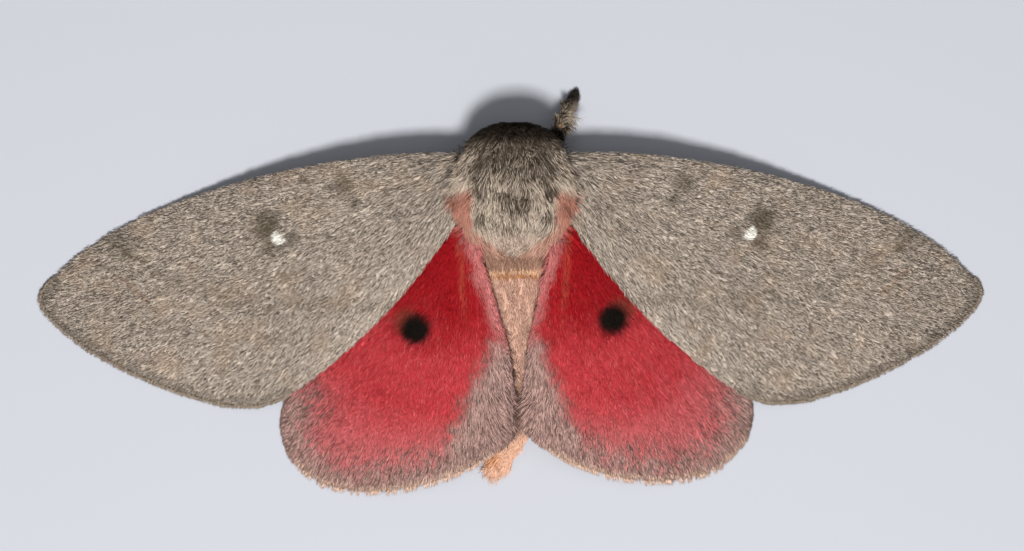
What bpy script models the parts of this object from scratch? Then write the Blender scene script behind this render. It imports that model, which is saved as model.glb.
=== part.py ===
"""A grey and red silk moth at rest, life-size, with its wings spread flat.

Metres, +Z up. The head points along +Y and the moth's right side is at +X.
The origin lies on the floor, under the middle of the box that holds the moth.
"""

import math
import random

import bmesh
import bpy
from mathutils import Vector
from mathutils.bvhtree import BVHTree

# The driving size, tip to tip across the forewings. U is an eightieth of it, one millimetre
# at this size, and every length of the body is a number of U.
WINGSPAN = 0.080
U = WINGSPAN / 80

# Sizes that don't scale with the moth: the clearance between nodes and the least thickness.
GAP = 0.00034
LEAST_THICK = 0.0005

# The body's midline lies a little right of the middle between the wing tips.
BODY_X = 0.35 * U
BODY_Y = -0.04 * U
SIDES = {"left": -1, "right": 1}

# How the two sides differ in the pose: turn backwards about the wing root, and reach.
FOREWING_TURN = {"left": math.radians(0.5), "right": math.radians(-0.5)}
HINDWING_TURN = {"left": math.radians(1.9), "right": math.radians(-1.9)}
WING_REACH = {"left": 1.009, "right": 0.991}
WING_ROOT = Vector((4.5, 5.0))

# Forewing edges, as distance out from the midline and place along the body.
FORE_LEAD = [(3.2, 11.5), (9.0, 11.6), (16.5, 10.75), (24.0, 9.1), (31.0, 6.7), (36.4, 3.6), (39.6, 0.6)]
FORE_OUTER = [(39.6, 0.6), (39.95, -0.7), (38.9, -2.35), (35.6, -5.05), (30.5, -7.65), (25.6, -9.35),
              (22.4, -9.85), (19.3, -9.0)]
FORE_TRAIL = [(3.2, 6.6), (4.9, 5.6), (6.7, 2.85), (11.4, -2.7), (16.3, -7.0), (19.3, -9.0)]

# Hindwing edges. The leading one lies under the forewing, the trailing one over the abdomen.
HIND_LEAD = [(3.0, 6.2), (5.4, 5.3), (9.7, 2.3), (14.6, -2.2), (18.3, -6.3), (19.75, -9.4)]
HIND_OUTER = [(19.75, -9.4), (19.95, -11.6), (19.0, -13.9), (16.4, -15.9), (12.6, -16.6), (8.9, -16.25),
              (5.3, -15.2), (2.5, -13.75), (0.45, -11.8)]
HIND_TRAIL = [(2.7, 4.3), (3.1, 3.3), (2.35, 1.3), (1.65, -1.4), (1.2, -3.0), (0.75, -4.9), (0.3, -8.6),
              (0.45, -11.8)]

# Veins: place across the wing from leading edge (0) to trailing edge (1), and the share of
# the length where the vein leaves its stem. Rows are shares of the length from the root.
FORE_VEINS = [(0.045, 0.0), (0.115, 0.0), (0.2, 0.3), (0.3, 0.47), (0.41, 0.47), (0.52, 0.47),
              (0.64, 0.36), (0.77, 0.2), (0.92, 0.0)]
HIND_VEINS = [(0.05, 0.0), (0.17, 0.0), (0.3, 0.43), (0.42, 0.43), (0.54, 0.3), (0.67, 0.15), (0.82, 0.0),
              (0.94, 0.0)]
FORE_ROWS = [0, 0.07, 0.16, 0.26, 0.36, 0.445, 0.47, 0.495, 0.6, 0.7, 0.8, 0.89, 0.955, 1]
HIND_ROWS = [0, 0.09, 0.2, 0.31, 0.405, 0.43, 0.455, 0.57, 0.69, 0.8, 0.9, 1]
VEIN_FOOT = 0.019
VEIN_HIGH = 0.2 * U
CROSS_VEIN = {"fore": (0.47, 0.115, 0.64), "hind": (0.43, 0.17, 0.54)}

# The grown copies of the wings that cut clearances have a plain, coarse grid.
CLEAR_COLUMNS = [0, 0.1, 0.25, 0.4, 0.55, 0.7, 0.85, 1]
CLEAR_ROWS = [0, 0.07, 0.15, 0.25, 0.38, 0.55, 0.7, 0.85, 1]

# Wing heights: the leading edge is held up at the body and comes down to the floor outside.
HINGE_HIGH = 4.9 * U
TIP_HIGH = 0.36 * U
FALL_FROM = 8 * U
FALL_TO = 34 * U
BACK_SLOPE = 0.075
SLOPE_FROM_Y = 11.5 * U
LAYER_GAP = 0.95 * U
HIND_SLOPE, HIND_SLOPE_FROM_Y = 0.08, -6 * U
DRAPE_WIDE = 3.5 * U
DRAPE_CLEAR = 0.72 * U
# The line of the forewing's trailing edge, ahead of which the hindwing stays under it.
COVER_LINE = (Vector((4.9, 5.6)), Vector((16.3, -7.0)))

# Thorax core: a rounded barrel inside its coat.
THORAX_FRONT, THORAX_BACK = 13.1 * U, 3.5 * U
THORAX_HALF_WIDE, THORAX_HALF_HIGH = 4.2 * U, 3.9 * U
THORAX_HIGH_FRONT, THORAX_HIGH_BACK = 6.0 * U, 5.2 * U
THORAX_FULL = 2.5

# Head: small and tucked down, with its eyes on the sides.
HEAD_AT = (12.3 * U, 4.3 * U)
HEAD_HALF = (2.15 * U, 1.55 * U, 1.95 * U)
EYE_AT = (1.7 * U, 12.8 * U, 4.25 * U)
EYE_HALF = (0.92 * U, 0.86 * U, 1.0 * U)
PALP_LONG = 1.3 * U
PALP_RADII = (0.42 * U, 0.3 * U)
# Rows of tufts over the face: how many, how far ahead and how high on the head, from the top down.
TUFT_ROWS = ((4, 0.55, 0.35), (4, 0.75, -0.1))
TUFT_PITCH, TUFT_LONG, TUFT_WIDE, TUFT_LIFT = 1.0 * U, 1.7 * U, 1.1 * U, 0.5 * U

# Abdomen stations: place along the body, shift to the right, half width, half height, height.
ABDOMEN = [(4.6, 0, 1.9, 1.8, 4.9), (3.2, 0, 2.65, 2.35, 4.45), (1.2, 0, 2.9, 2.45, 3.85),
           (-1.5, 0, 2.85, 2.35, 3.2), (-4.5, 0, 2.7, 2.2, 2.5), (-7.5, 0, 2.45, 2.0, 2.0),
           (-10.0, -0.05, 2.2, 1.85, 1.68), (-12.3, -0.35, 1.9, 1.65, 1.47), (-14.0, -0.95, 1.45, 1.25, 1.16),
           (-15.1, -1.5, 0.8, 0.7, 0.95)]
SEGMENT_LONG = 2.25 * U
SEGMENTS = 8

# Antenna: it rises over the eye and is tucked back under the wing, combed in its first half.
ANTENNA_PATH = [(0.95, 12.9, 4.9), (1.5, 13.25, 5.6), (2.45, 13.0, 5.65), (3.3, 12.35, 5.05),
                (4.0, 11.65, 4.2), (4.8, 10.6, 3.6), (5.7, 9.1, 3.2), (6.5, 7.3, 2.8), (7.0, 5.2, 2.4)]
ANTENNA_ROOT_RADIUS, ANTENNA_TIP_RADIUS = 0.3 * U, 0.2 * U
COMB_FROM, COMB_TO, COMB_TEETH = 0.42, 0.74, 5
STEM_RINGS = 20
TOOTH_LONG = 1.25 * U
TOOTH_RADII = (0.27 * U, 0.14 * U)

# Legs: joints from the hip to the last pad, as distance out, place along the body, height.
LEG_JOINTS = {
    "foreleg_right": [(1.6, 10.6, 3.0), (2.4, 11.6, 2.3), (3.85, 13.7, 3.8), (4.55, 15.2, 2.2),
                      (4.92, 15.95, 0.8), (5.15, 16.65, 0.27)],
    "foreleg_left": [(1.6, 10.2, 3.0), (2.4, 10.7, 2.0), (4.2, 11.0, 2.2), (5.6, 10.1, 1.3),
                     (6.6, 9.5, 0.5), (8.2, 9.2, 0.27)],
    "midleg": [(2.0, 7.9, 3.0), (3.4, 7.6, 1.8), (6.2, 6.6, 1.95), (9.2, 5.6, 0.95), (10.6, 5.2, 0.4),
               (13.0, 5.0, 0.27)],
    "hindleg": [(2.0, 5.2, 3.0), (3.3, 4.0, 1.8), (5.5, 1.4, 1.95), (7.6, -2.4, 0.95), (8.4, -3.8, 0.4),
                (9.5, -6.0, 0.27)],
}
LEG_RADII = [0.62, 0.6, 0.46, 0.38, 0.34]
LEG_LOCKS = 3
LEG_LOCK_LONG = 1.15 * U
LEG_LOCK_RADII = (0.3 * U, 0.08 * U)

# Coat locks: length, width, thickness, and how far the tips stand over the core.
LOCK_LONG, LOCK_WIDE, LOCK_THICK, LOCK_LIFT = 3.2 * U, 2.0 * U, 0.54 * U, 0.9 * U
LOCK_ROWS = [12.85 * U, 12.45 * U, 11.2 * U, 9.8 * U, 8.3 * U, 6.8 * U, 5.2 * U]
LOCK_PITCH = 2.1 * U
LOCK_SINK = 0.55 * U
WHORL_Y = 12.6 * U
TAIL_LOCKS, TAIL_LOCK_LONG, TAIL_LOCK_WIDE = 8, 1.9 * U, 1.15 * U
SIDE_LOCKS, SIDE_LOCK_LONG, SIDE_LOCK_WIDE, SIDE_LOCK_PITCH = 4, 1.9 * U, 1.2 * U, 3.2
FLAT_LIFT = 0.4 * U

COLOURS = {
    "grey_coat": (0.36, 0.33, 0.29, 0.9),
    "brown_coat": (0.13, 0.10, 0.07, 0.9),
    "peach_coat": (0.62, 0.36, 0.25, 0.9),
    "grey_wing": (0.38, 0.35, 0.31, 0.85),
    "red_wing": (0.50, 0.035, 0.04, 0.8),
    "eye_dark": (0.02, 0.015, 0.012, 0.25),
    "leg_coat": (0.16, 0.13, 0.10, 0.85),
}


# Scene and material helpers


def clear_scene():
    for old in list(bpy.data.objects):
        bpy.data.objects.remove(old)


def make_collection(name, shown=True):
    made = bpy.data.collections.new(name)
    bpy.context.scene.collection.children.link(made)
    made.hide_render = not shown
    return made


def make_materials():
    made = {}
    for name, (red, green, blue, rough) in COLOURS.items():
        material = bpy.data.materials.new(name)
        material.use_nodes = True
        shader = material.node_tree.nodes["Principled BSDF"]
        shader.inputs["Base Color"].default_value = (red, green, blue, 1)
        shader.inputs["Roughness"].default_value = rough
        made[name] = material
    return made


def place(side, out, along, high):
    """A point given as distance out from the midline, place along the body and height."""
    return Vector((BODY_X + side * out, BODY_Y + along, high))


def face_outwards(bm):
    """Stale normals mislead the recalculation, so they are brought up to date first."""
    bm.normal_update()
    bmesh.ops.recalc_face_normals(bm, faces=bm.faces[:])


def add_object(name, bm, collection):
    face_outwards(bm)
    mesh = bpy.data.meshes.new(name)
    bm.to_mesh(mesh)
    bm.free()
    made = bpy.data.objects.new(name, mesh)
    collection.objects.link(made)
    return made


# Curve helpers


def smooth_points(points, per_span=16):
    """Points on a smooth curve that passes through the given ones."""
    rows = [Vector(p) for p in points]
    ends = [rows[0] * 2 - rows[1]] + rows + [rows[-1] * 2 - rows[-2]]
    made = []
    for a, b, c, d in zip(ends, ends[1:], ends[2:], ends[3:]):
        for step in range(per_span):
            t = step / per_span
            made.append(
                0.5 * (2 * b + (c - a) * t + (2 * a - 5 * b + 4 * c - d) * t * t
                       + (3 * b - a - 3 * c + d) * t ** 3)
            )
    made.append(rows[-1])
    return made


def curve_reader(points):
    """A function that gives the point at a share of the smooth curve's length."""
    dense = smooth_points(points)
    lengths = [0.0]
    for a, b in zip(dense, dense[1:]):
        lengths.append(lengths[-1] + (b - a).length)

    def at(share):
        wanted = max(0.0, min(1.0, share)) * lengths[-1]
        for k in range(1, len(dense)):
            if lengths[k] >= wanted:
                span = lengths[k] - lengths[k - 1]
                part = (wanted - lengths[k - 1]) / span if span else 0
                return dense[k - 1].lerp(dense[k], part)
        return dense[-1]

    return at


def ease(low, high, value):
    t = max(0.0, min(1.0, (value - low) / (high - low)))
    return t * t * (3 - 2 * t)


def soft_max(a, b, blend):
    """The larger of two heights, with a rounded change between them."""
    t = max(0.0, min(1.0, 0.5 + 0.5 * (a - b) / blend))
    return b + (a - b) * t + blend * t * (1 - t) / 2


# Solid pieces


def spindle(name, rings, sides, collection):
    """A closed round form from a UV sphere, drawn out over rings of (centre, side, up).

    The first and last rings are its two ends, where only the centre counts.
    """
    bm = bmesh.new()
    last = len(rings) - 1
    bmesh.ops.create_uvsphere(bm, u_segments=sides, v_segments=last, radius=1)
    for vertex in bm.verts:
        ring = round(math.acos(max(-1.0, min(1.0, vertex.co.z))) / math.pi * last)
        turn = math.atan2(vertex.co.y, vertex.co.x)
        centre, side, up = rings[ring]
        if 0 < ring < last:
            vertex.co = centre + side * math.cos(turn) + up * math.sin(turn)
        else:
            vertex.co = centre
    return add_object(name, bm, collection)


def ball(name, centre, half, sides, rings, collection):
    """An ellipsoid whose rings stack along the body."""
    made = []
    for k in range(rings + 1):
        turn = math.pi * k / rings
        here = centre + Vector((0, half[1] * math.cos(turn), 0))
        wide = math.sin(turn)
        made.append((here, Vector((half[0] * wide, 0, 0)), Vector((0, 0, half[2] * wide))))
    return spindle(name, made, sides, collection)


def rod(name, start, end, start_radius, end_radius, sides, collection, rounding=0.25):
    """A tapered limb piece with rounded ends, which reach past its two joints."""
    line = (end - start).normalized()
    side = line.cross(Vector((0, 0, 1)))
    side = side.normalized() if side.length > 1e-6 else Vector((1, 0, 0))
    up = side.cross(line)
    past_start, past_end = start - line * start_radius * 0.8, end + line * end_radius * 0.8
    shares = [(0, 0), (rounding * 0.4, 0.85), (1 - rounding * 0.4, 0.85), (1, 0)]
    shares.insert(2, (0.5, 1.0))
    rings = []
    for share, full in shares:
        radius = (start_radius * (1 - share) + end_radius * share) * full
        rings.append((past_start.lerp(past_end, share), side * radius, up * radius))
    return spindle(name, rings, sides, collection)


def lock(name, surface, start, lie, long, wide, thick, lift, collection):
    """A flat, tapered lock of coat that leaves the surface and bends along it."""
    shares = [(0, 0, 0, -LOCK_SINK), (0.2, 0.78, 0.9, 0.12 * lift), (0.5, 1, 1, 0.68 * lift),
              (0.8, 0.66, 0.8, 1.0 * lift), (1, 0, 0, 0.95 * lift)]
    rings = []
    point, before = start.copy(), 0
    for share, across, deep, high in shares:
        point = point + lie * long * (share - before)
        before = share
        found, normal, _, _ = surface.find_nearest(point)
        normal = normal.normalized()
        along = (lie - normal * lie.dot(normal)).normalized()
        side = along.cross(normal).normalized()
        rings.append((found + normal * high, side * wide / 2 * across, normal * thick / 2 * deep))
        point = found
    return spindle(name, rings, 4, collection)


# Joining and cutting


def evaluated_mesh(thing):
    bpy.context.view_layer.update()
    graph = bpy.context.evaluated_depsgraph_get()
    return bpy.data.meshes.new_from_object(thing.evaluated_get(graph))


def apply_modifiers(thing):
    mesh = evaluated_mesh(thing)
    thing.modifiers.clear()
    thing.data = mesh


def boolean(thing, others, operation):
    """Joins a list of closed pieces to the thing, or cuts them from it, and removes them."""
    tools = make_collection("tools_" + thing.name, shown=False)
    for other in others:
        for home in list(other.users_collection):
            home.objects.unlink(other)
        tools.objects.link(other)
        other.hide_render = True
        other.display_type = "WIRE"
    modifier = thing.modifiers.new("join", "BOOLEAN")
    modifier.operation = operation
    modifier.operand_type = "COLLECTION"
    modifier.collection = tools
    modifier.solver = "MANIFOLD"
    apply_modifiers(thing)
    for other in others:
        bpy.data.objects.remove(other)
    bpy.data.collections.remove(tools)


def keep_largest(thing):
    """Drops every closed surface of the thing but the largest."""
    bm = bmesh.new()
    bm.from_mesh(thing.data)
    bmesh.ops.remove_doubles(bm, verts=bm.verts[:], dist=1e-7)
    bm.faces.ensure_lookup_table()
    unseen, best = set(bm.faces), []
    while unseen:
        island, edge = [], [unseen.pop()]
        while edge:
            face = edge.pop()
            island.append(face)
            for side in face.edges:
                for near in side.link_faces:
                    if near in unseen:
                        unseen.remove(near)
                        edge.append(near)
        if sum(f.calc_area() for f in island) > sum(f.calc_area() for f in best):
            best = island
    kept = set(best)
    bmesh.ops.delete(bm, geom=[f for f in bm.faces if f not in kept], context="FACES")
    bmesh.ops.delete(bm, geom=[v for v in bm.verts if not v.link_faces], context="VERTS")
    bm.to_mesh(thing.data)
    bm.free()


def swollen(thing, by, collection):
    """A copy of a closed piece, grown along its normals, to cut a clearance with."""
    made = thing.copy()
    made.data = evaluated_mesh(thing)
    made.modifiers.clear()
    collection.objects.link(made)
    normals = [v.normal.copy() for v in made.data.vertices]
    for vertex, normal in zip(made.data.vertices, normals):
        vertex.co += normal * by
    return made


def surface_of(thing):
    bm = bmesh.new()
    bm.from_mesh(evaluated_mesh(thing))
    tree = BVHTree.FromBMesh(bm)
    bm.free()
    return tree


def floor_cutter(collection):
    """A block whose top is the floor."""
    bm = bmesh.new()
    bmesh.ops.create_cube(bm, size=WINGSPAN * 2)
    bmesh.ops.translate(bm, verts=bm.verts[:], vec=(0, 0, -WINGSPAN))
    return add_object("below_floor", bm, collection)


def finish(thing, material, angle=40):
    thing.data.materials.clear()
    thing.data.materials.append(material)
    thing.data.shade_smooth()
    thing.data.set_sharp_from_angle(angle=math.radians(angle))


# Body cores


def thorax_core(collection):
    rings = []
    count = 13
    for k in range(count + 1):
        turn = math.cos(math.pi * k / count)
        along = (THORAX_FRONT + THORAX_BACK) / 2 + (THORAX_FRONT - THORAX_BACK) / 2 * turn
        full = max(0.0, 1 - abs(turn) ** THORAX_FULL) ** (1 / THORAX_FULL)
        share = (along - THORAX_BACK) / (THORAX_FRONT - THORAX_BACK)
        high = THORAX_HIGH_BACK + (THORAX_HIGH_FRONT - THORAX_HIGH_BACK) * share
        rings.append((place(1, 0, along, high), Vector((THORAX_HALF_WIDE * full, 0, 0)),
                      Vector((0, 0, THORAX_HALF_HIGH * full))))
    return spindle("thorax", rings, 20, collection)


def abdomen_at():
    """A function of the place along the body: shift, half width, half height, height."""
    def read(along):
        rows = ABDOMEN
        if along >= rows[0][0]:
            return rows[0][1:]
        for front, back in zip(rows, rows[1:]):
            if along >= back[0]:
                t = (front[0] - along) / (front[0] - back[0])
                return tuple(a + (b - a) * t for a, b in zip(front[1:], back[1:]))
        return rows[-1][1:]
    return read


def abdomen_core(collection):
    """Eight rings that narrow towards the tail, each a little wider at its hind edge."""
    read = abdomen_at()
    front, back = ABDOMEN[0][0], ABDOMEN[-1][0]
    pitch = SEGMENT_LONG / U
    stops = [(front, 0.9)]
    for k in range(SEGMENTS):
        start = front - 1.2 - pitch * k
        for share, full in ((0.0, 0.955), (0.16, 1.0), (0.84, 1.03)):
            if start - pitch * share > back:
                stops.append((start - pitch * share, full))
    stops.append((back, 0.9))
    first = place(1, 0, (front + 0.5) * U, ABDOMEN[0][4] * U)
    rings = [(first, Vector(), Vector())]
    for along, full in stops:
        shift, wide, tall, high = read(along)
        centre = place(1, shift * U, along * U, high * U)
        rings.append((centre, Vector((wide * full * U, 0, 0)), Vector((0, 0, tall * full * U))))
    shift, _, _, high = ABDOMEN[-1][1:]
    rings.append((place(1, (shift - 0.3) * U, (back - 0.5) * U, high * U), Vector(), Vector()))
    return spindle("abdomen", rings, 16, collection)


# Wings


def spread_height(out, along):
    """Height of the wing plane over the floor, before layers and limits."""
    fall = HINGE_HIGH + (TIP_HIGH - HINGE_HIGH) * ease(FALL_FROM, FALL_TO, out)
    return fall - BACK_SLOPE * (SLOPE_FROM_Y - along)


def forewing_height(out, along):
    return soft_max(spread_height(out, along), TIP_HIGH, 1.4 * U)


def hindwing_height(out, along):
    """The hindwing lies under the forewing and drapes over the abdomen."""
    drop = LAYER_GAP + HIND_SLOPE * max(0.0, HIND_SLOPE_FROM_Y - along)
    low = soft_max(spread_height(out, along) - drop, TIP_HIGH, 0.3 * U)
    shift, wide, tall, high = (n * U for n in abdomen_at()(along / U))
    need = high + tall + DRAPE_CLEAR - low
    off = max(0.0, out - 0.6 * U) / DRAPE_WIDE
    draped = low + max(0.0, need) * math.exp(-off * off)
    start, end = COVER_LINE
    line = (end - start).normalized()
    ahead = (out / U - start.x) * -line.y + (along / U - start.y) * line.x
    limit = max(forewing_height(out, along) - LAYER_GAP, TIP_HIGH)
    covered = ease(-2.0, -0.5, ahead)
    return draped + (min(draped, limit) - draped) * covered


def wing_patch(lead, outer, trail):
    """A function from (length share, width share) to a flat point between four edges."""
    at_lead, at_outer, at_trail = curve_reader(lead), curve_reader(outer), curve_reader(trail)
    root_front, root_back = Vector(lead[0]), Vector(trail[0])
    tip_front, tip_back = Vector(lead[-1]), Vector(trail[-1])

    def at(u, v):
        across = at_lead(u) * (1 - v) + at_trail(u) * v
        along = root_front.lerp(root_back, v) * (1 - u) + at_outer(v) * u
        corners = root_front.lerp(root_back, v) * (1 - u) + tip_front.lerp(tip_back, v) * u
        return across + along - corners
    return at


def wing_columns(veins):
    """Three columns to a vein: its crest and both feet."""
    columns = {0.0, 1.0}
    for v, _ in veins:
        columns |= {v - VEIN_FOOT, v, v + VEIN_FOOT}
    return sorted(columns)


def vein_height(u, v, veins, cross):
    """Ridges run along the veins and across the end of the cell."""
    high = 0.0
    for middle, start in veins:
        if abs(v - middle) < VEIN_FOOT / 2:
            high = max(high, ease(start - 0.06, start, u) * (1 - ease(0.93, 1.0, u)))
    row, first, last = cross
    if abs(u - row) < 0.01 and first <= v <= last:
        high = max(high, 0.8)
    return high * VEIN_HIGH


def wing_shell(name, side_name, patch, columns, rows, ridge, height, turn, thick, grow, collection):
    """A ridged sheet from a grid, laid out between the wing's edges and drawn down to a shell.

    Both faces are moved straight up and down, so that narrow ridges can't fold into each other.
    """
    side = SIDES[side_name]
    bm = bmesh.new()
    bmesh.ops.create_grid(bm, x_segments=len(rows) - 1, y_segments=len(columns) - 1, size=0.5)
    middle = patch(0.5, 0.5)
    cos_turn, sin_turn = math.cos(turn), math.sin(turn)
    for vertex in bm.verts:
        u = rows[round((vertex.co.x + 0.5) * (len(rows) - 1))]
        v = columns[round((vertex.co.y + 0.5) * (len(columns) - 1))]
        flat = middle + (patch(u, v) - middle) * grow
        off = flat - WING_ROOT
        out = (WING_ROOT.x + off.x * cos_turn + off.y * sin_turn) * WING_REACH[side_name] * U
        along = (WING_ROOT.y - off.x * sin_turn + off.y * cos_turn) * U
        out = max(out, 0.17 * U + 0.03 * out)
        vertex.co = place(side, out, along, height(out, along) + thick / 2 + ridge(u, v))
    bmesh.ops.triangulate(bm, faces=bm.faces[:])
    bm.normal_update()
    if bm.faces[:][0].normal.z < 0:
        bmesh.ops.reverse_faces(bm, faces=bm.faces[:])
    drawn = bmesh.ops.extrude_face_region(bm, geom=bm.faces[:], use_keep_orig=True)
    lower = [v for v in drawn["geom"] if isinstance(v, bmesh.types.BMVert)]
    bmesh.ops.translate(bm, verts=lower, vec=(0, 0, -thick))
    return add_object(name, bm, collection)


def make_wing(kind, side_name, collection, spare):
    """The wing, and a grown copy of it that cuts other nodes clear."""
    fore = kind == "forewing"
    patch = wing_patch(FORE_LEAD, FORE_OUTER, FORE_TRAIL) if fore else wing_patch(
        HIND_LEAD, HIND_OUTER, HIND_TRAIL)
    veins, rows = (FORE_VEINS, FORE_ROWS) if fore else (HIND_VEINS, HIND_ROWS)
    turn = (FOREWING_TURN if fore else HINDWING_TURN)[side_name]
    height = forewing_height if fore else hindwing_height
    cross = CROSS_VEIN["fore" if fore else "hind"]
    name = f"{kind}_{side_name}"

    def veined(u, v):
        return vein_height(u, v, veins, cross)

    def level(u, v):
        return VEIN_HIGH / 2

    wing = wing_shell(name, side_name, patch, wing_columns(veins), rows, veined, height, turn,
                      LEAST_THICK, 1.0, collection)
    clear_thick = LEAST_THICK + 2 * GAP + VEIN_HIGH
    clear = wing_shell(name + "_clear", side_name, patch, CLEAR_COLUMNS, CLEAR_ROWS, level, height, turn,
                       clear_thick, 1.05, spare)
    return wing, clear


# Head, eyes and antennae


def make_head(collection, spare):
    centre = place(1, 0, *HEAD_AT)
    head = ball("head", centre, HEAD_HALF, 16, 8, collection)
    surface = surface_of(head)
    pieces = []
    for side in (-1, 1):
        start = centre + Vector((side * 0.55 * U, HEAD_HALF[1] * 0.75, -HEAD_HALF[2] * 0.62))
        end = start + Vector((side * 0.1 * U, PALP_LONG * 0.75, -PALP_LONG * 0.4))
        pieces.append(rod("palp", start, end, *PALP_RADII, 6, spare))
    for count, ahead, rise in TUFT_ROWS:
        for k in range(count):
            out = (k - (count - 1) / 2) * TUFT_PITCH
            start = centre + Vector((out, HEAD_HALF[1] * ahead, HEAD_HALF[2] * rise))
            found, _, _, _ = surface.find_nearest(start)
            lie = Vector((0.06 * out / U, 0.3, -ahead - 0.2)).normalized()
            pieces.append(lock("tuft", surface, found, lie, TUFT_LONG, TUFT_WIDE, LOCK_THICK, TUFT_LIFT,
                               spare))
    return head, pieces


def make_eye(side_name, collection, grow=0.0):
    out, along, high = EYE_AT
    centre = place(SIDES[side_name], out, along, high)
    half = [h + grow for h in EYE_HALF]
    return ball(f"eye_{side_name}", centre, half, 12, 8, collection)


def make_antenna(side_name, collection, spare):
    """A tapered stem with a comb of teeth on both edges of its first half."""
    side = SIDES[side_name]
    at = curve_reader([place(side, *(n * U for n in p)) for p in ANTENNA_PATH])
    rings = []
    for k in range(STEM_RINGS + 1):
        share = k / STEM_RINGS
        line = (at(min(1, share + 0.02)) - at(max(0, share - 0.02))).normalized()
        across = line.cross(Vector((0, 0, 1))).normalized()
        radius = ANTENNA_ROOT_RADIUS + (ANTENNA_TIP_RADIUS - ANTENNA_ROOT_RADIUS) * share
        rings.append((at(share), across * radius, across.cross(line) * radius))
    stem = spindle(f"antenna_{side_name}", rings, 6, collection)
    teeth = []
    for k in range(COMB_TEETH):
        share = COMB_FROM + (COMB_TO - COMB_FROM) * k / (COMB_TEETH - 1)
        root = at(share)
        line = (at(share + 0.02) - at(share - 0.02)).normalized()
        across = line.cross(Vector((0, 0, 1))).normalized()
        long = TOOTH_LONG * math.sin(math.pi * (0.25 + 0.6 * k / (COMB_TEETH - 1)))
        for way in (-1, 1):
            end = root + (across * way * 0.8 + line * 0.6).normalized() * long
            teeth.append(rod("tooth", root, end, *TOOTH_RADII, 4, spare))
    return stem, teeth


# Legs


def make_leg(name, side_name, collection, spare):
    side = SIDES[side_name]
    joints = [place(side, *(n * U for n in p)) for p in LEG_JOINTS[name]]
    names = ["hip", "thigh", "shin", "foot", "pad"]
    pieces = []
    for k, (start, end) in enumerate(zip(joints, joints[1:])):
        thin = LEG_RADII[min(k + 1, len(LEG_RADII) - 1)] * U
        pieces.append(rod(names[k], start, end, LEG_RADII[k] * U, thin, 6, spare))
    leg_name = name if name.startswith("foreleg") else f"{name}_{side_name}"
    leg = pieces.pop(0)
    leg.name = leg_name
    spare.objects.unlink(leg)
    collection.objects.link(leg)
    shin_start, shin_end = joints[2], joints[3]
    line = (shin_end - shin_start).normalized()
    outward = line.cross(Vector((0, 0, 1))).normalized() * side
    for k in range(LEG_LOCKS):
        share = 0.05 + 0.75 * k / (LEG_LOCKS - 1)
        root = shin_start.lerp(shin_end, share)
        way = outward if k % 2 else -outward
        lie = (line * 0.8 + way * 0.6 + Vector((0, 0, 0.12))).normalized()
        pieces.append(rod("fringe", root, root + lie * LEG_LOCK_LONG, *LEG_LOCK_RADII, 4, spare))
    return leg, pieces


# Coat


def coat_lie(point):
    """The coat runs back over the thorax, and forward as a collar over the head."""
    off = point - place(1, 0, WHORL_Y, 0)
    out = off.x / U
    if off.y > 0:
        return Vector((0.12 * out, 1.0, 0.0)).normalized()
    return Vector((0.16 * out, -1.0, 0.0)).normalized()


def thorax_locks(core, spare):
    """Rows of overlapping locks round the barrel, laid from the front backwards."""
    surface = surface_of(core)
    draw = random.Random(11)
    locks = []
    for row, along in enumerate(LOCK_ROWS):
        share = (along - THORAX_BACK) / (THORAX_FRONT - THORAX_BACK)
        full = max(0.0, 1 - abs(2 * share - 1) ** THORAX_FULL) ** (1 / THORAX_FULL)
        count = max(7, round(2 * math.pi * THORAX_HALF_WIDE * full / LOCK_PITCH))
        high = THORAX_HIGH_BACK + (THORAX_HIGH_FRONT - THORAX_HIGH_BACK) * share
        for k in range(count):
            turn = 2 * math.pi * (k + 0.5 * (row % 2)) / count
            aim = place(1, THORAX_HALF_WIDE * full * math.sin(turn), along,
                        high + THORAX_HALF_HIGH * full * math.cos(turn))
            found, normal, _, _ = surface.find_nearest(aim)
            lie = coat_lie(found) + Vector((draw.uniform(-0.14, 0.14), 0, draw.uniform(-0.1, 0.1)))
            under = 0.75 if math.cos(turn) < -0.3 else 1.0
            long = LOCK_LONG * draw.uniform(0.88, 1.1) * under
            lift = LOCK_LIFT * draw.uniform(0.9, 1.15) * under
            locks.append(lock("lock", surface, found, lie.normalized(), long,
                              LOCK_WIDE * draw.uniform(0.9, 1.1), LOCK_THICK, lift, spare))
    return locks


def abdomen_locks(core, spare):
    """The tail tuft, and a sparse fringe low on each side."""
    surface = surface_of(core)
    draw = random.Random(5)
    locks = []
    for k in range(TAIL_LOCKS):
        turn = 2 * math.pi * k / TAIL_LOCKS
        aim = place(1, (-1.15 + 1.3 * math.sin(turn)) * U, -14.35 * U, (1.1 + 1.1 * math.cos(turn)) * U)
        found, _, _, _ = surface.find_nearest(aim)
        lie = Vector((-0.42 + 0.22 * math.sin(turn), -1.0, -0.05 - 0.2 * math.cos(turn)))
        long = TAIL_LOCK_LONG * draw.uniform(0.9, 1.1)
        locks.append(lock("tail_tuft", surface, found, lie.normalized(), long, TAIL_LOCK_WIDE, LOCK_THICK,
                          FLAT_LIFT, spare))
    for side in (-1, 1):
        for k in range(SIDE_LOCKS):
            along = (0.4 - SIDE_LOCK_PITCH * k) * U
            shift, wide, tall, high = (n * U for n in abdomen_at()(along / U))
            found, _, _, _ = surface.find_nearest(place(side, wide, along, high - 0.3 * tall))
            lie = Vector((side * 0.25, -1.0, -0.12)).normalized()
            locks.append(lock("side_fringe", surface, found, lie, SIDE_LOCK_LONG, SIDE_LOCK_WIDE, LOCK_THICK,
                              FLAT_LIFT, spare))
    return locks


# Assembly


def swell_all(things, spare):
    return [swollen(thing, GAP, spare) for thing in things]


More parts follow.
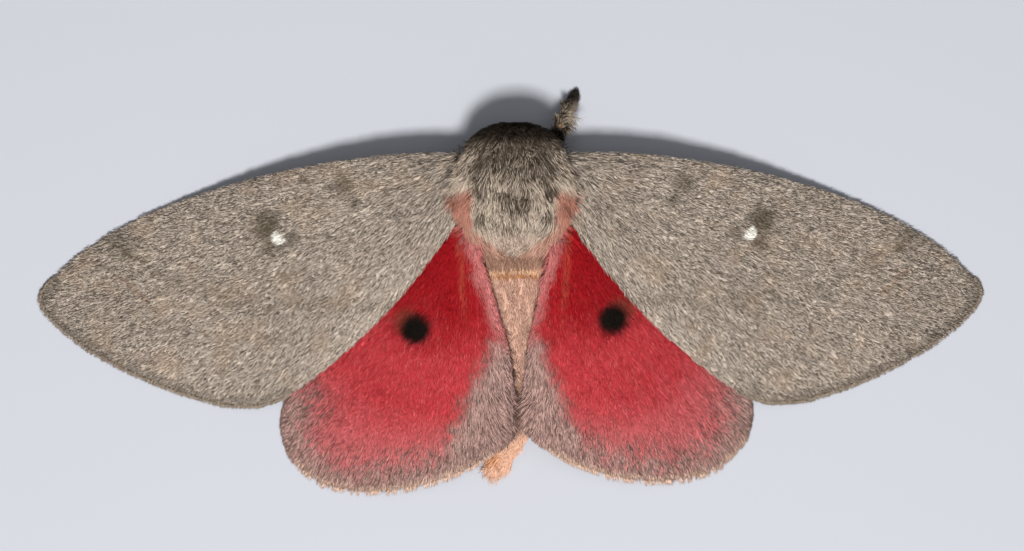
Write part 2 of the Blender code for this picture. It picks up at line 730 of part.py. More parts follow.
def build():
    clear_scene()
    materials = make_materials()
    moth = make_collection("moth")
    spare = make_collection("spare", shown=False)

    thorax = thorax_core(moth)
    core_clear = swollen(thorax, GAP, spare)

    def trim(thing, cutters):
        boolean(thing, cutters, "DIFFERENCE")
        keep_largest(thing)

    def copy_of(thing):
        return swollen(thing, 0.0, spare)

    locks = thorax_locks(thorax, spare)
    thorax_cutters = []

    wing_clear = {}
    for side_name in SIDES:
        for kind, colour in (("forewing", "grey_wing"), ("hindwing", "red_wing")):
            wing, clear = make_wing(kind, side_name, moth, spare)
            trim(wing, [copy_of(core_clear)])
            finish(wing, materials[colour], 60)
            wing_clear[wing.name] = clear
            thorax_cutters.append(clear)

    abdomen = abdomen_core(moth)
    fringe = abdomen_locks(abdomen, spare)
    thorax_cutters += swell_all([abdomen] + fringe, spare)
    boolean(abdomen, fringe, "UNION")
    trim(abdomen, [copy_of(core_clear), copy_of(wing_clear["hindwing_left"]),
                   copy_of(wing_clear["hindwing_right"]), floor_cutter(spare)])
    finish(abdomen, materials["peach_coat"])

    head, tufts = make_head(moth, spare)
    head_clear = swollen(head, GAP, spare)
    thorax_cutters += swell_all([head] + tufts, spare)
    boolean(head, tufts, "UNION")
    head_cutters = [copy_of(core_clear)]
    for side_name in SIDES:
        eye = make_eye(side_name, moth)
        finish(eye, materials["eye_dark"])
        head_cutters.append(make_eye(side_name, spare, grow=GAP))
        thorax_cutters.append(make_eye(side_name, spare, grow=GAP))
        antenna, teeth = make_antenna(side_name, moth, spare)
        antenna_clear = swell_all([antenna] + teeth, spare)
        boolean(antenna, teeth, "UNION")
        trim(antenna, [copy_of(head_clear), copy_of(core_clear)])
        finish(antenna, materials["brown_coat"])
        head_cutters.append(copy_of(antenna_clear[0]))
        thorax_cutters += antenna_clear
    trim(head, head_cutters)
    finish(head, materials["brown_coat"])

    for name in LEG_JOINTS:
        for side_name in [name.split("_")[1]] if "_" in name else list(SIDES):
            leg, pieces = make_leg(name, side_name, moth, spare)
            thorax_cutters += swell_all([leg] + pieces, spare)
            boolean(leg, pieces, "UNION")
            trim(leg, [copy_of(core_clear), floor_cutter(spare)])
            finish(leg, materials["leg_coat"])

    boolean(thorax, locks, "UNION")
    trim(thorax, thorax_cutters)
    finish(thorax, materials["grey_coat"])
    for left in list(spare.objects):
        bpy.data.objects.remove(left)
    bpy.data.collections.remove(spare)


build()
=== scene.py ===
# %% [markdown]
# # A grey and red silk moth, dressed over its solids
#
# The frame is a packed set of closed solids: wings, thorax, head, abdomen, legs, feelers and
# eyes. This script turns them into the furry, scaled animal. It goes from the skins to the coat,
# then to the colours, the floor, the light and the camera.

# %% Load the frame
import math

import bmesh
import bpy
import numpy as np
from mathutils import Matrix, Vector
from mathutils.kdtree import KDTree


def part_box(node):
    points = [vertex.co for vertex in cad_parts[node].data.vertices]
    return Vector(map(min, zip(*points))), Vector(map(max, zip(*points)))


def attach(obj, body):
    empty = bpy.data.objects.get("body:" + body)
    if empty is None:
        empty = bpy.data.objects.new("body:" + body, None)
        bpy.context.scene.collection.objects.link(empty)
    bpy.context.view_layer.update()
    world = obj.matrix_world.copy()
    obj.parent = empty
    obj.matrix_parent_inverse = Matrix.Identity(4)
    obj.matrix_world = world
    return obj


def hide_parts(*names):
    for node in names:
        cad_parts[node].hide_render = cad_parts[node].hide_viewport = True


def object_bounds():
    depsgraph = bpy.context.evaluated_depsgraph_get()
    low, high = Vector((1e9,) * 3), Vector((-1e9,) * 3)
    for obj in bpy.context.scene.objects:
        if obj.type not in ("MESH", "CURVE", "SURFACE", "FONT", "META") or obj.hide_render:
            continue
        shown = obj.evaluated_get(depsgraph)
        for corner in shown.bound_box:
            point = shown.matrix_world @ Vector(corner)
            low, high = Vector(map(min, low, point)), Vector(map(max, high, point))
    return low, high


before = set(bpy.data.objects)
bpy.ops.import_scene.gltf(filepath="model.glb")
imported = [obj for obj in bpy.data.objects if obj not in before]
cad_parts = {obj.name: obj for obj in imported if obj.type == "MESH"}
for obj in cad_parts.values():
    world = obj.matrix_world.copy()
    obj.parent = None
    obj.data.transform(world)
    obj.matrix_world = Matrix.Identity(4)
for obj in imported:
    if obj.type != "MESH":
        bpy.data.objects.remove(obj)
cad_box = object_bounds()
print("nodes in the frame:", len(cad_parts))

# %% [markdown]
# ## Sizes and places
#
# Everything is measured from the frame, so the dress follows the solids if they change size.
# One U is an eightieth of the wingspan, a millimetre on this moth. Places on the moth are given
# as a distance out from the midline and a place along the body, both in U. The midline is a
# little off the middle of the box, so both are read from the two eyes.

# %% Sizes from the frame
lowest, highest = cad_box
U = (highest[0] - lowest[0]) / 80
MID_X = (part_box("eye_left")[0].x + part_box("eye_right")[1].x) / 2
EYE_ALONG = 12.8
SHIFT_Y = (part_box("eye_left")[0].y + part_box("eye_left")[1].y) / 2 - EYE_ALONG * U
SIDES = ("left", "right")
WINGS = [f"{kind}_{side}" for kind in ("forewing", "hindwing") for side in SIDES]
LEGS = [f"{kind}_{side}" for kind in ("foreleg", "midleg", "hindleg") for side in SIDES]
FEELERS = [f"antenna_{side}" for side in SIDES]
EYES = [f"eye_{side}" for side in SIDES]
BODY = ["thorax", "head", "abdomen"]
coat_share = 1.0
print("one U is", round(U * 1000, 4), "mm; the midline is at", round(MID_X * 1000, 3), "mm")


def thin(count):
    """How many leaves of coat to lay: the count times coat_share, which is one here."""
    return int(count * coat_share)


def kind_of(node):
    return node.split("_")[0]


def out_along(point):
    """Distance out from the midline, with its sign, and place along the body, in U."""
    return (point[:, 0] - MID_X) / U, (point[:, 1] - SHIFT_Y) / U


# %% [markdown]
# ## Skins
#
# Under its coat the animal has a smooth skin. Each skin here starts as a joined copy of its
# solids, because the solids themselves stay as they are. It could be modelled anew, but a copy
# follows the solids exactly. The helpers below join, change and unwrap such copies.


# %% Copies and modifiers
MERGE_WITHIN = 0.002
SEAM_ANGLE = 70
ISLAND_GAP = 0.01


def choose(thing):
    bpy.ops.object.select_all(action="DESELECT")
    bpy.context.view_layer.objects.active = thing
    thing.select_set(True)


def join_copies(name, nodes):
    """One new mesh from copies of the solids, with its doubled corners merged."""
    bm = bmesh.new()
    for node in nodes:
        bm.from_mesh(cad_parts[node].data)
    bmesh.ops.remove_doubles(bm, verts=bm.verts[:], dist=MERGE_WITHIN * U)
    mesh = bpy.data.meshes.new(name)
    bm.to_mesh(mesh)
    bm.free()
    made = bpy.data.objects.new(name, mesh)
    bpy.context.scene.collection.objects.link(made)
    return made


def modify(thing, kind, **settings):
    """Adds a modifier, sets it and applies it."""
    modifier = thing.modifiers.new(kind.lower(), kind)
    for key, value in settings.items():
        setattr(modifier, key, value)
    choose(thing)
    bpy.ops.object.modifier_apply(modifier=modifier.name)


def smooth_remesh(thing, voxel, rounds, swell):
    """Joins what overlaps, smooths it and moves its surface out, or in where swell is negative."""
    modify(thing, "REMESH", mode="VOXEL", voxel_size=voxel * U)
    modify(thing, "SMOOTH", factor=0.5, iterations=rounds)
    modify(thing, "DISPLACE", strength=swell * U, mid_level=0.0)


def unwrap(thing):
    """Lays the skin's own faces out flat, as the map that skin and coat are baked on."""
    choose(thing)
    bpy.ops.object.mode_set(mode="EDIT")
    bpy.ops.mesh.select_all(action="SELECT")
    bpy.ops.uv.smart_project(angle_limit=math.radians(SEAM_ANGLE), island_margin=ISLAND_GAP)
    bpy.ops.object.mode_set(mode="OBJECT")
    thing.data.uv_layers[0].name = "OFBake"
    thing.data.shade_smooth()


def read(data, key, width):
    """An array of one property of a mesh's vertices, loops or attribute values."""
    values = np.empty(len(data) * width)
    data.foreach_get(key, values)
    return values.reshape(-1, width) if width > 1 else values


def clamp(thing, axis, limit, bound):
    """Moves vertices past a limit on one axis back to it. bound is np.minimum or np.maximum."""
    point = read(thing.data.vertices, "co", 3)
    point[:, axis] = bound(point[:, axis], limit)
    thing.data.vertices.foreach_set("co", point.reshape(-1))


# %% [markdown]
# ### The body
#
# The three solids of the body have locks of coat on them. A voxel remesh joins the solids and a
# smoothing takes the locks away. What is left lies under the coat, with no seam between head,
# thorax and abdomen. Sculpting could do the same by hand, but it wouldn't follow the solids.
# Three eggs close what the locks leave open: the furry collar that hides the neck from above, a
# core that fills the hollows between the locks, and a waist between the roots of the hindwings.

# %% Body skin
# Each egg is its place along the body, its height, and half its width, length and height.
COLLAR = (11.3, 6.55, (4.35, 2.95, 2.6))
CORE = (7.7, 5.6, (4.2, 4.9, 4.3))
WAIST = (3.3, 4.0, (3.2, 1.7, 2.1))
BODY_VOXEL = 0.33
BODY_ROUNDS = 28
COAT_DEEP = 0.3
FACE_ALONG = 13.75


def add_egg(skin, along, high, halves):
    """Joins a ball to the skin, stretched to its three half sizes."""
    bpy.ops.object.select_all(action="DESELECT")
    bpy.ops.mesh.primitive_uv_sphere_add(segments=48, ring_count=24, radius=1)
    egg = bpy.context.object
    egg.scale = [half * U for half in halves]
    egg.location = (MID_X, SHIFT_Y + along * U, high * U)
    bpy.ops.object.transform_apply(location=True, rotation=True, scale=True)
    skin.select_set(True)
    bpy.context.view_layer.objects.active = skin
    bpy.ops.object.join()


body = join_copies("body_skin", BODY)
for egg in (COLLAR, CORE, WAIST):
    add_egg(body, *egg)
smooth_remesh(body, BODY_VOXEL, BODY_ROUNDS, -COAT_DEEP)
clamp(body, 1, SHIFT_Y + FACE_ALONG * U, np.minimum)
unwrap(body)
print(body.name, len(body.data.polygons), "faces")

# %% [markdown]
# ### The wings
#
# A real wing is a thin sheet on stiff veins. The solids have the veins raised in their surface,
# so their copies keep them: they are only subdivided and drawn in a little towards the root, so
# that the coat ends where the solids do. The coat and the markings both need to know how far
# they are from the outer margin, so every point of the skin keeps that distance as "edge".

# %% Margins of the wings
WING_ROOT = {"forewing": (4.0, 9.0), "hindwing": (3.6, 5.0)}
# The share of its distance from the root that each point keeps.
WING_KEPT = {"forewing_left": 0.993, "forewing_right": 0.993, "hindwing_left": 1.0, "hindwing_right": 0.982}
RIM_LEVEL = 0.55


def draw_in(wing, node):
    """Moves all points towards the wing's root, seen from above."""
    point = read(wing.data.vertices, "co", 3)
    side = 1 if point[:, 0].mean() > MID_X else -1
    root_out, root_along = WING_ROOT[kind_of(node)]
    root = np.array([MID_X + side * root_out * U, SHIFT_Y + root_along * U])
    point[:, :2] = root + (point[:, :2] - root) * WING_KEPT[node]
    wing.data.vertices.foreach_set("co", point.reshape(-1))


def whole_rim(wing):
    """Points all round the wing's edge, where its surface stands upright."""
    normal = read(wing.data.vertices, "normal", 3)
    return read(wing.data.vertices, "co", 3)[np.abs(normal[:, 2]) < RIM_LEVEL]


def outer_rim(wing, kind):
    """The points of the edge beyond the line between the ends of the outer margin."""
    point = whole_rim(wing)
    out, along = out_along(point)
    out = np.abs(out)
    if kind == "forewing":
        beyond = (along < -9.0 + (out - 19.3) * 0.47 + 0.6) & (out > 19)
    else:
        beyond = along < -12.0 + (out - 0.45) * 0.13
    return point[beyond]


def edge_distance(rim, points):
    """Distance of each point from a rim, seen from above, in U."""
    tree = KDTree(len(rim))
    for index, point in enumerate(rim):
        tree.insert((point[0], point[1], 0), index)
    tree.balance()
    return np.array([tree.find((p[0], p[1], 0))[2] for p in points]) / U


# %% Wing skins
WING_ROUNDS = 2
SCALE_DEEP = 0.08
wings, rims = {}, {}
for node in WINGS:
    wing = join_copies(node + "_skin", [node])
    modify(wing, "SUBSURF", levels=WING_ROUNDS, render_levels=WING_ROUNDS)
    draw_in(wing, node)
    modify(wing, "DISPLACE", strength=-SCALE_DEEP * U, mid_level=0.0)
    unwrap(wing)
    rims[node] = outer_rim(wing, kind_of(node))
    edge = wing.data.attributes.new("edge", "FLOAT", "POINT")
    edge.data.foreach_set("value", edge_distance(rims[node], read(wing.data.vertices, "co", 3)))
    wings[node] = wing
    print(wing.name, len(wing.data.polygons), "faces,", len(rims[node]), "points on its margin")

# %% [markdown]
# ### Legs, feelers and eyes
#
# The legs carry locks too, so they are remeshed like the body and then swell a little, as a
# furry leg is thicker than its shell. They rest on the floor, so no point goes below it. Feelers
# and eyes have no coat that needs to go, and a subdivision rounds them.

# %% Leg, feeler and eye skins
LEG_VOXEL = 0.13
LEG_ROUNDS = 16
LEG_FAT = 0.16
limbs = {}
for node in LEGS + FEELERS + EYES:
    limb = join_copies(node + "_skin", [node])
    if node in LEGS:
        smooth_remesh(limb, LEG_VOXEL, LEG_ROUNDS, LEG_FAT)
        clamp(limb, 2, 0.0, np.maximum)
    else:
        levels = 2 if node in EYES else 1
        modify(limb, "SUBSURF", levels=levels, render_levels=levels)
    unwrap(limb)
    limbs[node] = limb
    print(limb.name, len(limb.data.polygons), "faces")

# %% [markdown]
# ## Coat
#
# The coat is made of small closed leaves. Each has a root in the skin, one or two rings of three
# corners, and a tip. Leaves are laid by numpy, because there are more than a hundred thousand of
# them. Hair curves or a particle system would look alike, but they don't reach the other tools
# as meshes. A leaf is mostly seen past its middle, because other leaves cover its root. So it
# keeps that place and a random shade as attributes, and one set of markings colours skin and
# coat. Its patch of the baking map lies where its root does.


# %% Scatter roots over a skin
LEAST_AREA = 1e-15


def scatter(skin, count, draw, weigh):
    """Random places on a skin: point, normal and map place. weigh(centre, normal) thins them."""
    mesh = skin.data
    mesh.calc_loop_triangles()
    tris = read(mesh.loop_triangles, "vertices", 3).astype(int)
    tris = read(mesh.vertices, "co", 3)[tris]
    loops = read(mesh.loop_triangles, "loops", 3).astype(int)
    flat = read(mesh.uv_layers["OFBake"].data, "uv", 2)[loops]
    cross = np.cross(tris[:, 1] - tris[:, 0], tris[:, 2] - tris[:, 0])
    area = np.linalg.norm(cross, axis=1)
    normal = cross / np.maximum(area, LEAST_AREA)[:, None]
    weight = area * weigh(tris.mean(axis=1), normal)
    picked = draw.choice(len(tris), count, p=weight / weight.sum())
    a, b = draw.random(count), draw.random(count)
    over = a + b > 1
    a[over], b[over] = 1 - a[over], 1 - b[over]
    shares = np.stack([1 - a - b, a, b], axis=1)[:, :, None]
    return (tris[picked] * shares).sum(axis=1), normal[picked], (flat[picked] * shares).sum(axis=1)


# %% The shape of a leaf
# Each ring is its share of the leaf's length, of its width and of its lift off the skin.
ONE_RING = [(0.42, 1.0, 0.5)]
TWO_RINGS = [(0.28, 0.9, 0.4), (0.66, 0.75, 0.85)]
RIDGE = 0.35
ROOT_DEEP = 0.1
SEEN_AT = 0.6
FLOOR_CLEAR = 0.02 * U
LEAST_LENGTH = 1e-12


def unit(rows):
    """Each row as a direction of length one."""
    return rows / np.maximum(np.linalg.norm(rows, axis=1), LEAST_LENGTH)[:, None]


def leaf_faces(rings):
    """Triangles of one closed leaf: a fan at its root, bands between rings, a fan at its tip."""
    faces = [(0, 1, 2), (0, 3, 1), (0, 2, 3)]
    for ring in range(rings - 1):
        r = 1 + 3 * ring
        for a, b, c, d in ((r, r + 3, r + 4, r + 1), (r, r + 2, r + 5, r + 3), (r + 1, r + 4, r + 5, r + 2)):
            faces += [(a, b, c), (a, c, d)]
    r = 3 * rings - 2
    return np.array(faces + [(r, r + 3, r + 1), (r, r + 2, r + 3), (r + 1, r + 3, r + 2)])


def leaf_corners(point, normal, flow, sizes, rings):
    """The corners of every leaf, none below the floor, and the place that it is seen at."""
    long, wide, lift = sizes
    along = unit(flow - normal * (flow * normal).sum(axis=1)[:, None])
    side = np.cross(normal, along)
    corners = [point - normal * ROOT_DEEP * long]
    for share, broad, high in rings:
        centre = point + along * long * share + normal * lift * high
        corners.append(centre + side * wide * broad / 2)
        corners.append(centre - side * wide * broad / 2)
        corners.append(centre + normal * wide * broad * RIDGE)
    corners.append(point + along * long + normal * lift)
    corners = np.stack(corners, axis=1)
    corners[:, :, 2] = np.maximum(corners[:, :, 2], FLOOR_CLEAR)
    return corners, point + along * long * SEEN_AT


# %% Lay leaves along a flow
PATCH = 0.003


def triangle_mesh(name, corners, faces):
    mesh = bpy.data.meshes.new(name)
    mesh.vertices.add(corners.size // 3)
    mesh.vertices.foreach_set("co", corners.reshape(-1))
    mesh.loops.add(faces.size)
    mesh.polygons.add(len(faces))
    mesh.loops.foreach_set("vertex_index", faces.reshape(-1).astype(np.int32))
    mesh.polygons.foreach_set("loop_start", np.arange(len(faces), dtype=np.int32) * 3)
    mesh.update(calc_edges=True)
    mesh.shade_smooth()
    return mesh


def add_patches(mesh, flat, faces, per, draw):
    """Gives each leaf a small patch of the baking map, at the place of its root."""
    patches = flat[:, None, :] + draw.uniform(-0.5, 0.5, (per, 2))[None] * PATCH
    layer = mesh.uv_layers.new(name="OFBake")
    layer.data.foreach_set("uv", patches.reshape(-1, 2)[faces.reshape(-1)].reshape(-1))


def lay_coat(name, roots, flow, long, wide, lift, rings, draw, edge=None):
    """Closed leaves from roots along a flow. long, wide and lift may be one number or many."""
    point, normal, flat = roots
    count = len(point)
    sizes = [np.broadcast_to(x, count)[:, None] * U for x in (long, wide, lift)]
    corners, seen = leaf_corners(point, normal, flow, sizes, rings)
    per = corners.shape[1]
    faces = (leaf_faces(len(rings))[None] + np.arange(count)[:, None, None] * per).reshape(-1, 3)
    mesh = triangle_mesh(name, corners, faces)
    place = mesh.attributes.new("place", "FLOAT_VECTOR", "POINT")
    place.data.foreach_set("vector", np.repeat(seen, per, axis=0).reshape(-1))
    rise = [0.0] + [share for share, _, _ in rings for _ in range(3)] + [1.0]
    values = {"shade": np.repeat(draw.random(count), per), "rise": np.tile(rise, count)}
    if edge is not None:
        values["edge"] = np.repeat(edge, per)
    for key, value in values.items():
        mesh.attributes.new(key, "FLOAT", "POINT").data.foreach_set("value", value)
    add_patches(mesh, flat, faces, per, draw)
    made = bpy.data.objects.new(name, mesh)
    bpy.context.scene.collection.objects.link(made)
    print(name, len(faces), "triangles")
    return made


# %% [markdown]
# ## The lie of the coat
#
# On a wing the scales and hairs run from the root to the margin. On the body they run backwards,
# outward over the shoulders and together again over the hind end of the thorax. On the face they
# turn forward and down. Each flow is a direction for every root, with a little disorder. Combing
# by hand would need a window, so the flow is worked out from each root's place.


# %% Places that the flow and the lengths depend on
MEET_ALONG = (-9.2, -7.2)


def blend(value, low, high):
    """Rises smoothly from zero at low to one at high."""
    share = np.clip((value - low) / (high - low), 0, 1)
    return share * share * (3 - 2 * share)


def inner_margin(point):
    """Distance out from the hindwing's inner margin, which leans in towards the tail, in U."""
    out, along = out_along(point)
    return np.abs(out) - np.maximum(2.27 + 0.32 * along, 0.35)


def meeting(point):
    """One where the hindwings meet over the abdomen, zero ahead of that."""
    return 1 - blend(out_along(point)[1], *MEET_ALONG)


def bulge(point):
    """How far the hindwing's inner hair reaches over the waist. It reaches further on the right."""
    out, along = out_along(point)
    rows = blend(along, -1.0, 1.5) * (1 - blend(along, 4.0, 5.0))
    return rows * np.where(out > 0, 1.0, 0.35) * (1 - blend(inner_margin(point), 0.4, 1.0))


# %% Flows
FLOW_ORIGIN = {"forewing": (2.4, 12.0), "hindwing": (3.2, 7.0)}
# About one full turn, and the number of waves in a slow change of lie.
TURN = 6.28
WAVES = 9


def wing_flow(point, kind):
    """From the root to the margin, and on a hindwing also inwards beside the abdomen."""
    side = np.where(point[:, 0] > MID_X, 1, -1)
    root_out, root_along = FLOW_ORIGIN[kind]
    root = np.stack([MID_X + side * root_out * U, np.full(len(point), SHIFT_Y + root_along * U),
                     point[:, 2]], axis=1)
    flow = unit(point - root)
    if kind == "hindwing":
        behind = meeting(point)
        inward = (0.35 + 0.4 * behind) * (1 - blend(inner_margin(point) - 0.6 * behind, 0.3, 2.0))
        flow[:, 0] -= side * (inward + 0.6 * bulge(point))
    return unit(flow)


def body_flow(point):
    """Back and outwards over the shoulders, inwards behind the shield, forward over the face."""
    out, along = out_along(point)
    far = np.abs(out)
    shoulder = 0.9 * blend(far, 2.4, 3.8) * blend(along, 6.0, 8.5)
    inward = 0.2 * far * (1 - blend(along, 4.5, 8.0)) * blend(along, 2.4, 3.8)
    spread = 0.14 * far * blend(along, 7.5, 10.5) - inward
    tail_left = 0.55 * blend(-along, 11.0, 13.5)
    sideways = np.sign(out) * (shoulder + spread) - tail_left
    back = np.stack([sideways, np.full(len(out), -1.0), np.zeros(len(out))], axis=1)
    front = np.stack([0.4 * out, np.full(len(out), 0.6), np.full(len(out), -0.8)], axis=1)
    under = 1 - blend(point[:, 2] / U, 5.2, 7.0)
    ahead = (blend(along, 12.0, 13.2) * under)[:, None]
    return unit(unit(back) * (1 - ahead) + unit(front) * ahead)


def ruffle(flow, draw, amount):
    """A little disorder from one leaf to the next."""
    return unit(flow + draw.normal(0, amount, flow.shape))


def sway(point, flow, draw, amount, wide):
    """A slow change of lie over the skin, which parts the coat into small tufts."""
    turned = flow.copy()
    for _ in range(WAVES):
        wave = draw.normal(0, 2 * math.pi / (wide * U), 3)
        turned += np.sin(point @ wave + draw.uniform(0, TURN))[:, None] * draw.normal(0, amount, 3)
    return unit(turned)


# %% [markdown]
# ## Wing coats
#
# The upper side carries most of the leaves, close like hair. On the forewings they are longer
# near the body. On the hindwings they are shorter beside the abdomen and longer where the two
# wings meet over it. The under side is sparser, with broader leaves. It shows only from below,
# so fewer are enough. No leaf reaches far past the outer margin, where a fringe stands out.

# %% Leaves on the two sides of a wing
SIDE_COUNT = {"top": {"forewing": 32000, "hindwing": 32500}, "under": {"forewing": 4000, "hindwing": 4000}}
SIDE_BROADER = {"top": 1.0, "under": 1.8}
WING_LEAF_LONG = {"forewing": (0.36, 0.66), "hindwing": (0.8, 1.3)}
WING_LEAF_WIDE = {"forewing": (0.045, 0.08), "hindwing": (0.04, 0.078)}
WING_LIFT = (0.06, 0.2)
WING_SWAY, WING_TUFT, WING_RUFFLE = 0.06, 2.5, 0.1
OVERHANG = (0.3, 0.6)
UNDER_LEVEL = 0.6
UNDER_CLEAR = 0.45
coats = {}


def top_side(centre, normal):
    return normal[:, 2] > 0


def under_side(wing):
    """Chooses the under side without its edge, so that no tip shows from above."""
    edges = whole_rim(wing)
    return lambda centre, normal: (
        (normal[:, 2] < -UNDER_LEVEL) & (edge_distance(edges, centre) > UNDER_CLEAR))


def wing_leaf_lengths(kind, point, draw):
    """Longer near the body, shorter beside the abdomen, and longer where the wings meet over it."""
    near = 1 + 0.9 * (1 - blend(np.abs(out_along(point)[0]), 4, 11))
    if kind == "hindwing":
        near = np.clip(0.6 + 0.3 * inner_margin(point), 0.6, 1)
        inside = meeting(point) * (1 - blend(inner_margin(point), 0.8, 2.0))
        near = near + (1.25 - near) * inside + 0.4 * bulge(point)
    return draw.uniform(*WING_LEAF_LONG[kind], len(point)) * near


def lay_side(node, face, chosen, draw):
    """The leaves on one side of a wing, which run from the root to the margin."""
    kind = kind_of(node)
    count = thin(SIDE_COUNT[face][kind])
    roots = scatter(wings[node], count, draw, chosen)
    flow = sway(roots[0], wing_flow(roots[0], kind), draw, WING_SWAY, WING_TUFT)
    flow = ruffle(flow, draw, WING_RUFFLE)
    gap = edge_distance(rims[node], roots[0])
    long = np.minimum(wing_leaf_lengths(kind, roots[0], draw), gap + draw.uniform(*OVERHANG, count))
    wide = draw.uniform(*WING_LEAF_WIDE[kind], count) * SIDE_BROADER[face]
    lift = draw.uniform(*WING_LIFT, count)
    edge = gap - SEEN_AT * long
    name = f"{node}_{face}_coat"
    coats[name] = (lay_coat(name, roots, flow, long, wide, lift, ONE_RING, draw, edge), kind)


# %% Fringe of a wing
FRINGE_COUNT = 1800
FRINGE_LONG, FRINGE_WIDE = (0.35, 0.62), (0.05, 0.09)
FRINGE_LIFT = 0.02
FRINGE_LEVEL = 0.5
FRINGE_DEEP = 0.4
FRINGE_EDGE = -0.3
LONGER_BEHIND = 0.28


def lay_fringe(node, draw):
    """Hair that stands out level from the outer margin. It is longer behind."""
    kind = kind_of(node)
    count = thin(FRINGE_COUNT)
    roots = scatter(wings[node], count, draw, lambda centre, normal: (
        (np.abs(normal[:, 2]) < FRINGE_LEVEL) & (edge_distance(rims[node], centre) < FRINGE_DEEP)))
    flow = ruffle(wing_flow(roots[0], kind), draw, 0.12)
    level = (roots[0], np.tile([0.0, 0.0, 1.0], (count, 1)), roots[2])
    long, wide = draw.uniform(*FRINGE_LONG, count), draw.uniform(*FRINGE_WIDE, count)
    long = long + LONGER_BEHIND * blend(-out_along(roots[0])[1], 13.5, 15.5)
    edge = np.full(count, FRINGE_EDGE)
    name = f"{node}_fringe"
    coats[name] = (lay_coat(name, level, flow, long, wide, FRINGE_LIFT, ONE_RING, draw, edge), kind)


# %% Wing coats
WING_SEED = 20
for number, node in enumerate(WINGS):
    draw = np.random.default_rng(WING_SEED + number)
    lay_side(node, "top", top_side, draw)
    lay_side(node, "under", under_side(wings[node]), draw)
    lay_fringe(node, draw)

# %% [markdown]
# ### Hair at the inner margins
#
# Long hair hangs from the inner margins of the hindwings down to the abdomen. It closes the gap
# between them, which would show from the front. A flat strip of skin would close it too, but it
# would look like card.

# %% Hair that hangs from the inner margins down to the abdomen
CURTAIN_SEED = 40
CURTAIN_COUNT = 3200
CURTAIN_DEEP = 0.95
CURTAIN_START = 0.5
CURTAIN_LONG, CURTAIN_WIDE, CURTAIN_LIFT = (1.0, 1.7), (0.07, 0.12), 0.05


def curtain_roots(centre, normal):
    """The under side of the inner margin, behind the waist."""
    behind = -out_along(centre)[1] > CURTAIN_START
    return (normal[:, 2] < 0.1) & (inner_margin(centre) < CURTAIN_DEEP) & behind


for number, (side, way) in enumerate(zip(SIDES, (-1, 1))):
    draw = np.random.default_rng(CURTAIN_SEED + number)
    node = f"hindwing_{side}"
    count = thin(CURTAIN_COUNT)
    roots = scatter(wings[node], count, draw, curtain_roots)
    flow = ruffle(np.tile([-0.05 * way, -0.3, -1.0], (count, 1)), draw, 0.1)
    edge = edge_distance(rims[node], roots[0])
    long, wide = draw.uniform(*CURTAIN_LONG, count), draw.uniform(*CURTAIN_WIDE, count)
    long = long * (0.3 + 0.7 * blend(-out_along(roots[0])[1], CURTAIN_START, 3.0))
    name = f"{node}_inner_hair"
    hair = lay_coat(name, roots, flow, long, wide, CURTAIN_LIFT, ONE_RING, draw, edge)
    coats[name] = (hair, "hindwing")


# %% [markdown]
# ## Body coats
#
# Crown, hood, breast, face and tail differ in length and thickness of hair. All of them grow
# from the one body skin, and each is a piece of its own to keep the pieces small. Each is chosen
# by its place: the neck parts hood and face from crown and breast, and the flank parts the upper
# side from the lower.


# %% Parts of the body
NECK_ALONG = 11.4
THORAX_ALONG = 2.4
TAIL_ALONG = 3.6
FLANK_HIGH = 4.4
EYE_CLEAR = 1.05
eye_middles = [np.array((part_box(eye)[0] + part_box(eye)[1]) / 2) for eye in EYES]


def thorax(centre):
    along = out_along(centre)[1]
    return (along > THORAX_ALONG) & (along <= NECK_ALONG)


def upper(centre):
    return centre[:, 2] > FLANK_HIGH * U


def crown(centre, normal):
    return thorax(centre) & upper(centre)


def hood(centre, normal):
    return (out_along(centre)[1] > NECK_ALONG) & upper(centre)


def breast(centre, normal):
    return thorax(centre) & ~upper(centre)


def face(centre, normal):
    """The front below the hood, without the eyes."""
    clear = [np.linalg.norm(centre - middle, axis=1) > EYE_CLEAR * U for middle in eye_middles]
    return (out_along(centre)[1] > NECK_ALONG) & ~upper(centre) & clear[0] & clear[1]


def tail(centre, normal):
    return out_along(centre)[1] < TAIL_ALONG


# %% Body coats
# Each coat is the part it grows on, its number of leaves, and their length, width and lift.
BODY_COATS = {
    "crown_coat": (crown, 14500, (0.8, 1.3), (0.05, 0.09), (0.12, 0.45)),
    "hood_coat": (hood, 10000, (0.6, 1.0), (0.05, 0.08), (0.12, 0.35)),
    "breast_coat": (breast, 4000, (1.0, 1.6), (0.12, 0.2), (0.2, 0.6)),
    "face_coat": (face, 2700, (0.35, 0.6), (0.06, 0.1), (0.06, 0.2)),
    "tail_coat": (tail, 10500, (0.6, 1.0), (0.05, 0.09), (0.1, 0.3)),
}
BODY_SEED = 60
BODY_SWAY, BODY_TUFT, BODY_RUFFLE = 0.13, 1.6, 0.12


def body_leaf_lengths(span, point, draw):
    """Longer over the joints of the wings and on the tail, shorter at the very front."""
    out, along = out_along(point)
    far = np.abs(out)
    hinge = blend(far, 1.5, 2.3) * (1 - blend(along, 4.8, 6.2)) * blend(along, 1.6, 2.6)
    shoulder = blend(far, 3.2, 4.0) * blend(along, 6.0, 8.0) * (1 - blend(along, 10.5, 11.5))
    more = 0.7 * hinge + 0.9 * shoulder + 0.8 * blend(-along, 12, 14) - 0.35 * blend(along, 12.6, 13.6)
    low = (1 - blend(point[:, 2] / U, 4.0, 5.0)) * blend(along, 10.0, 11.0)
    return draw.uniform(*span, len(point)) * (1 + more - 0.5 * low)


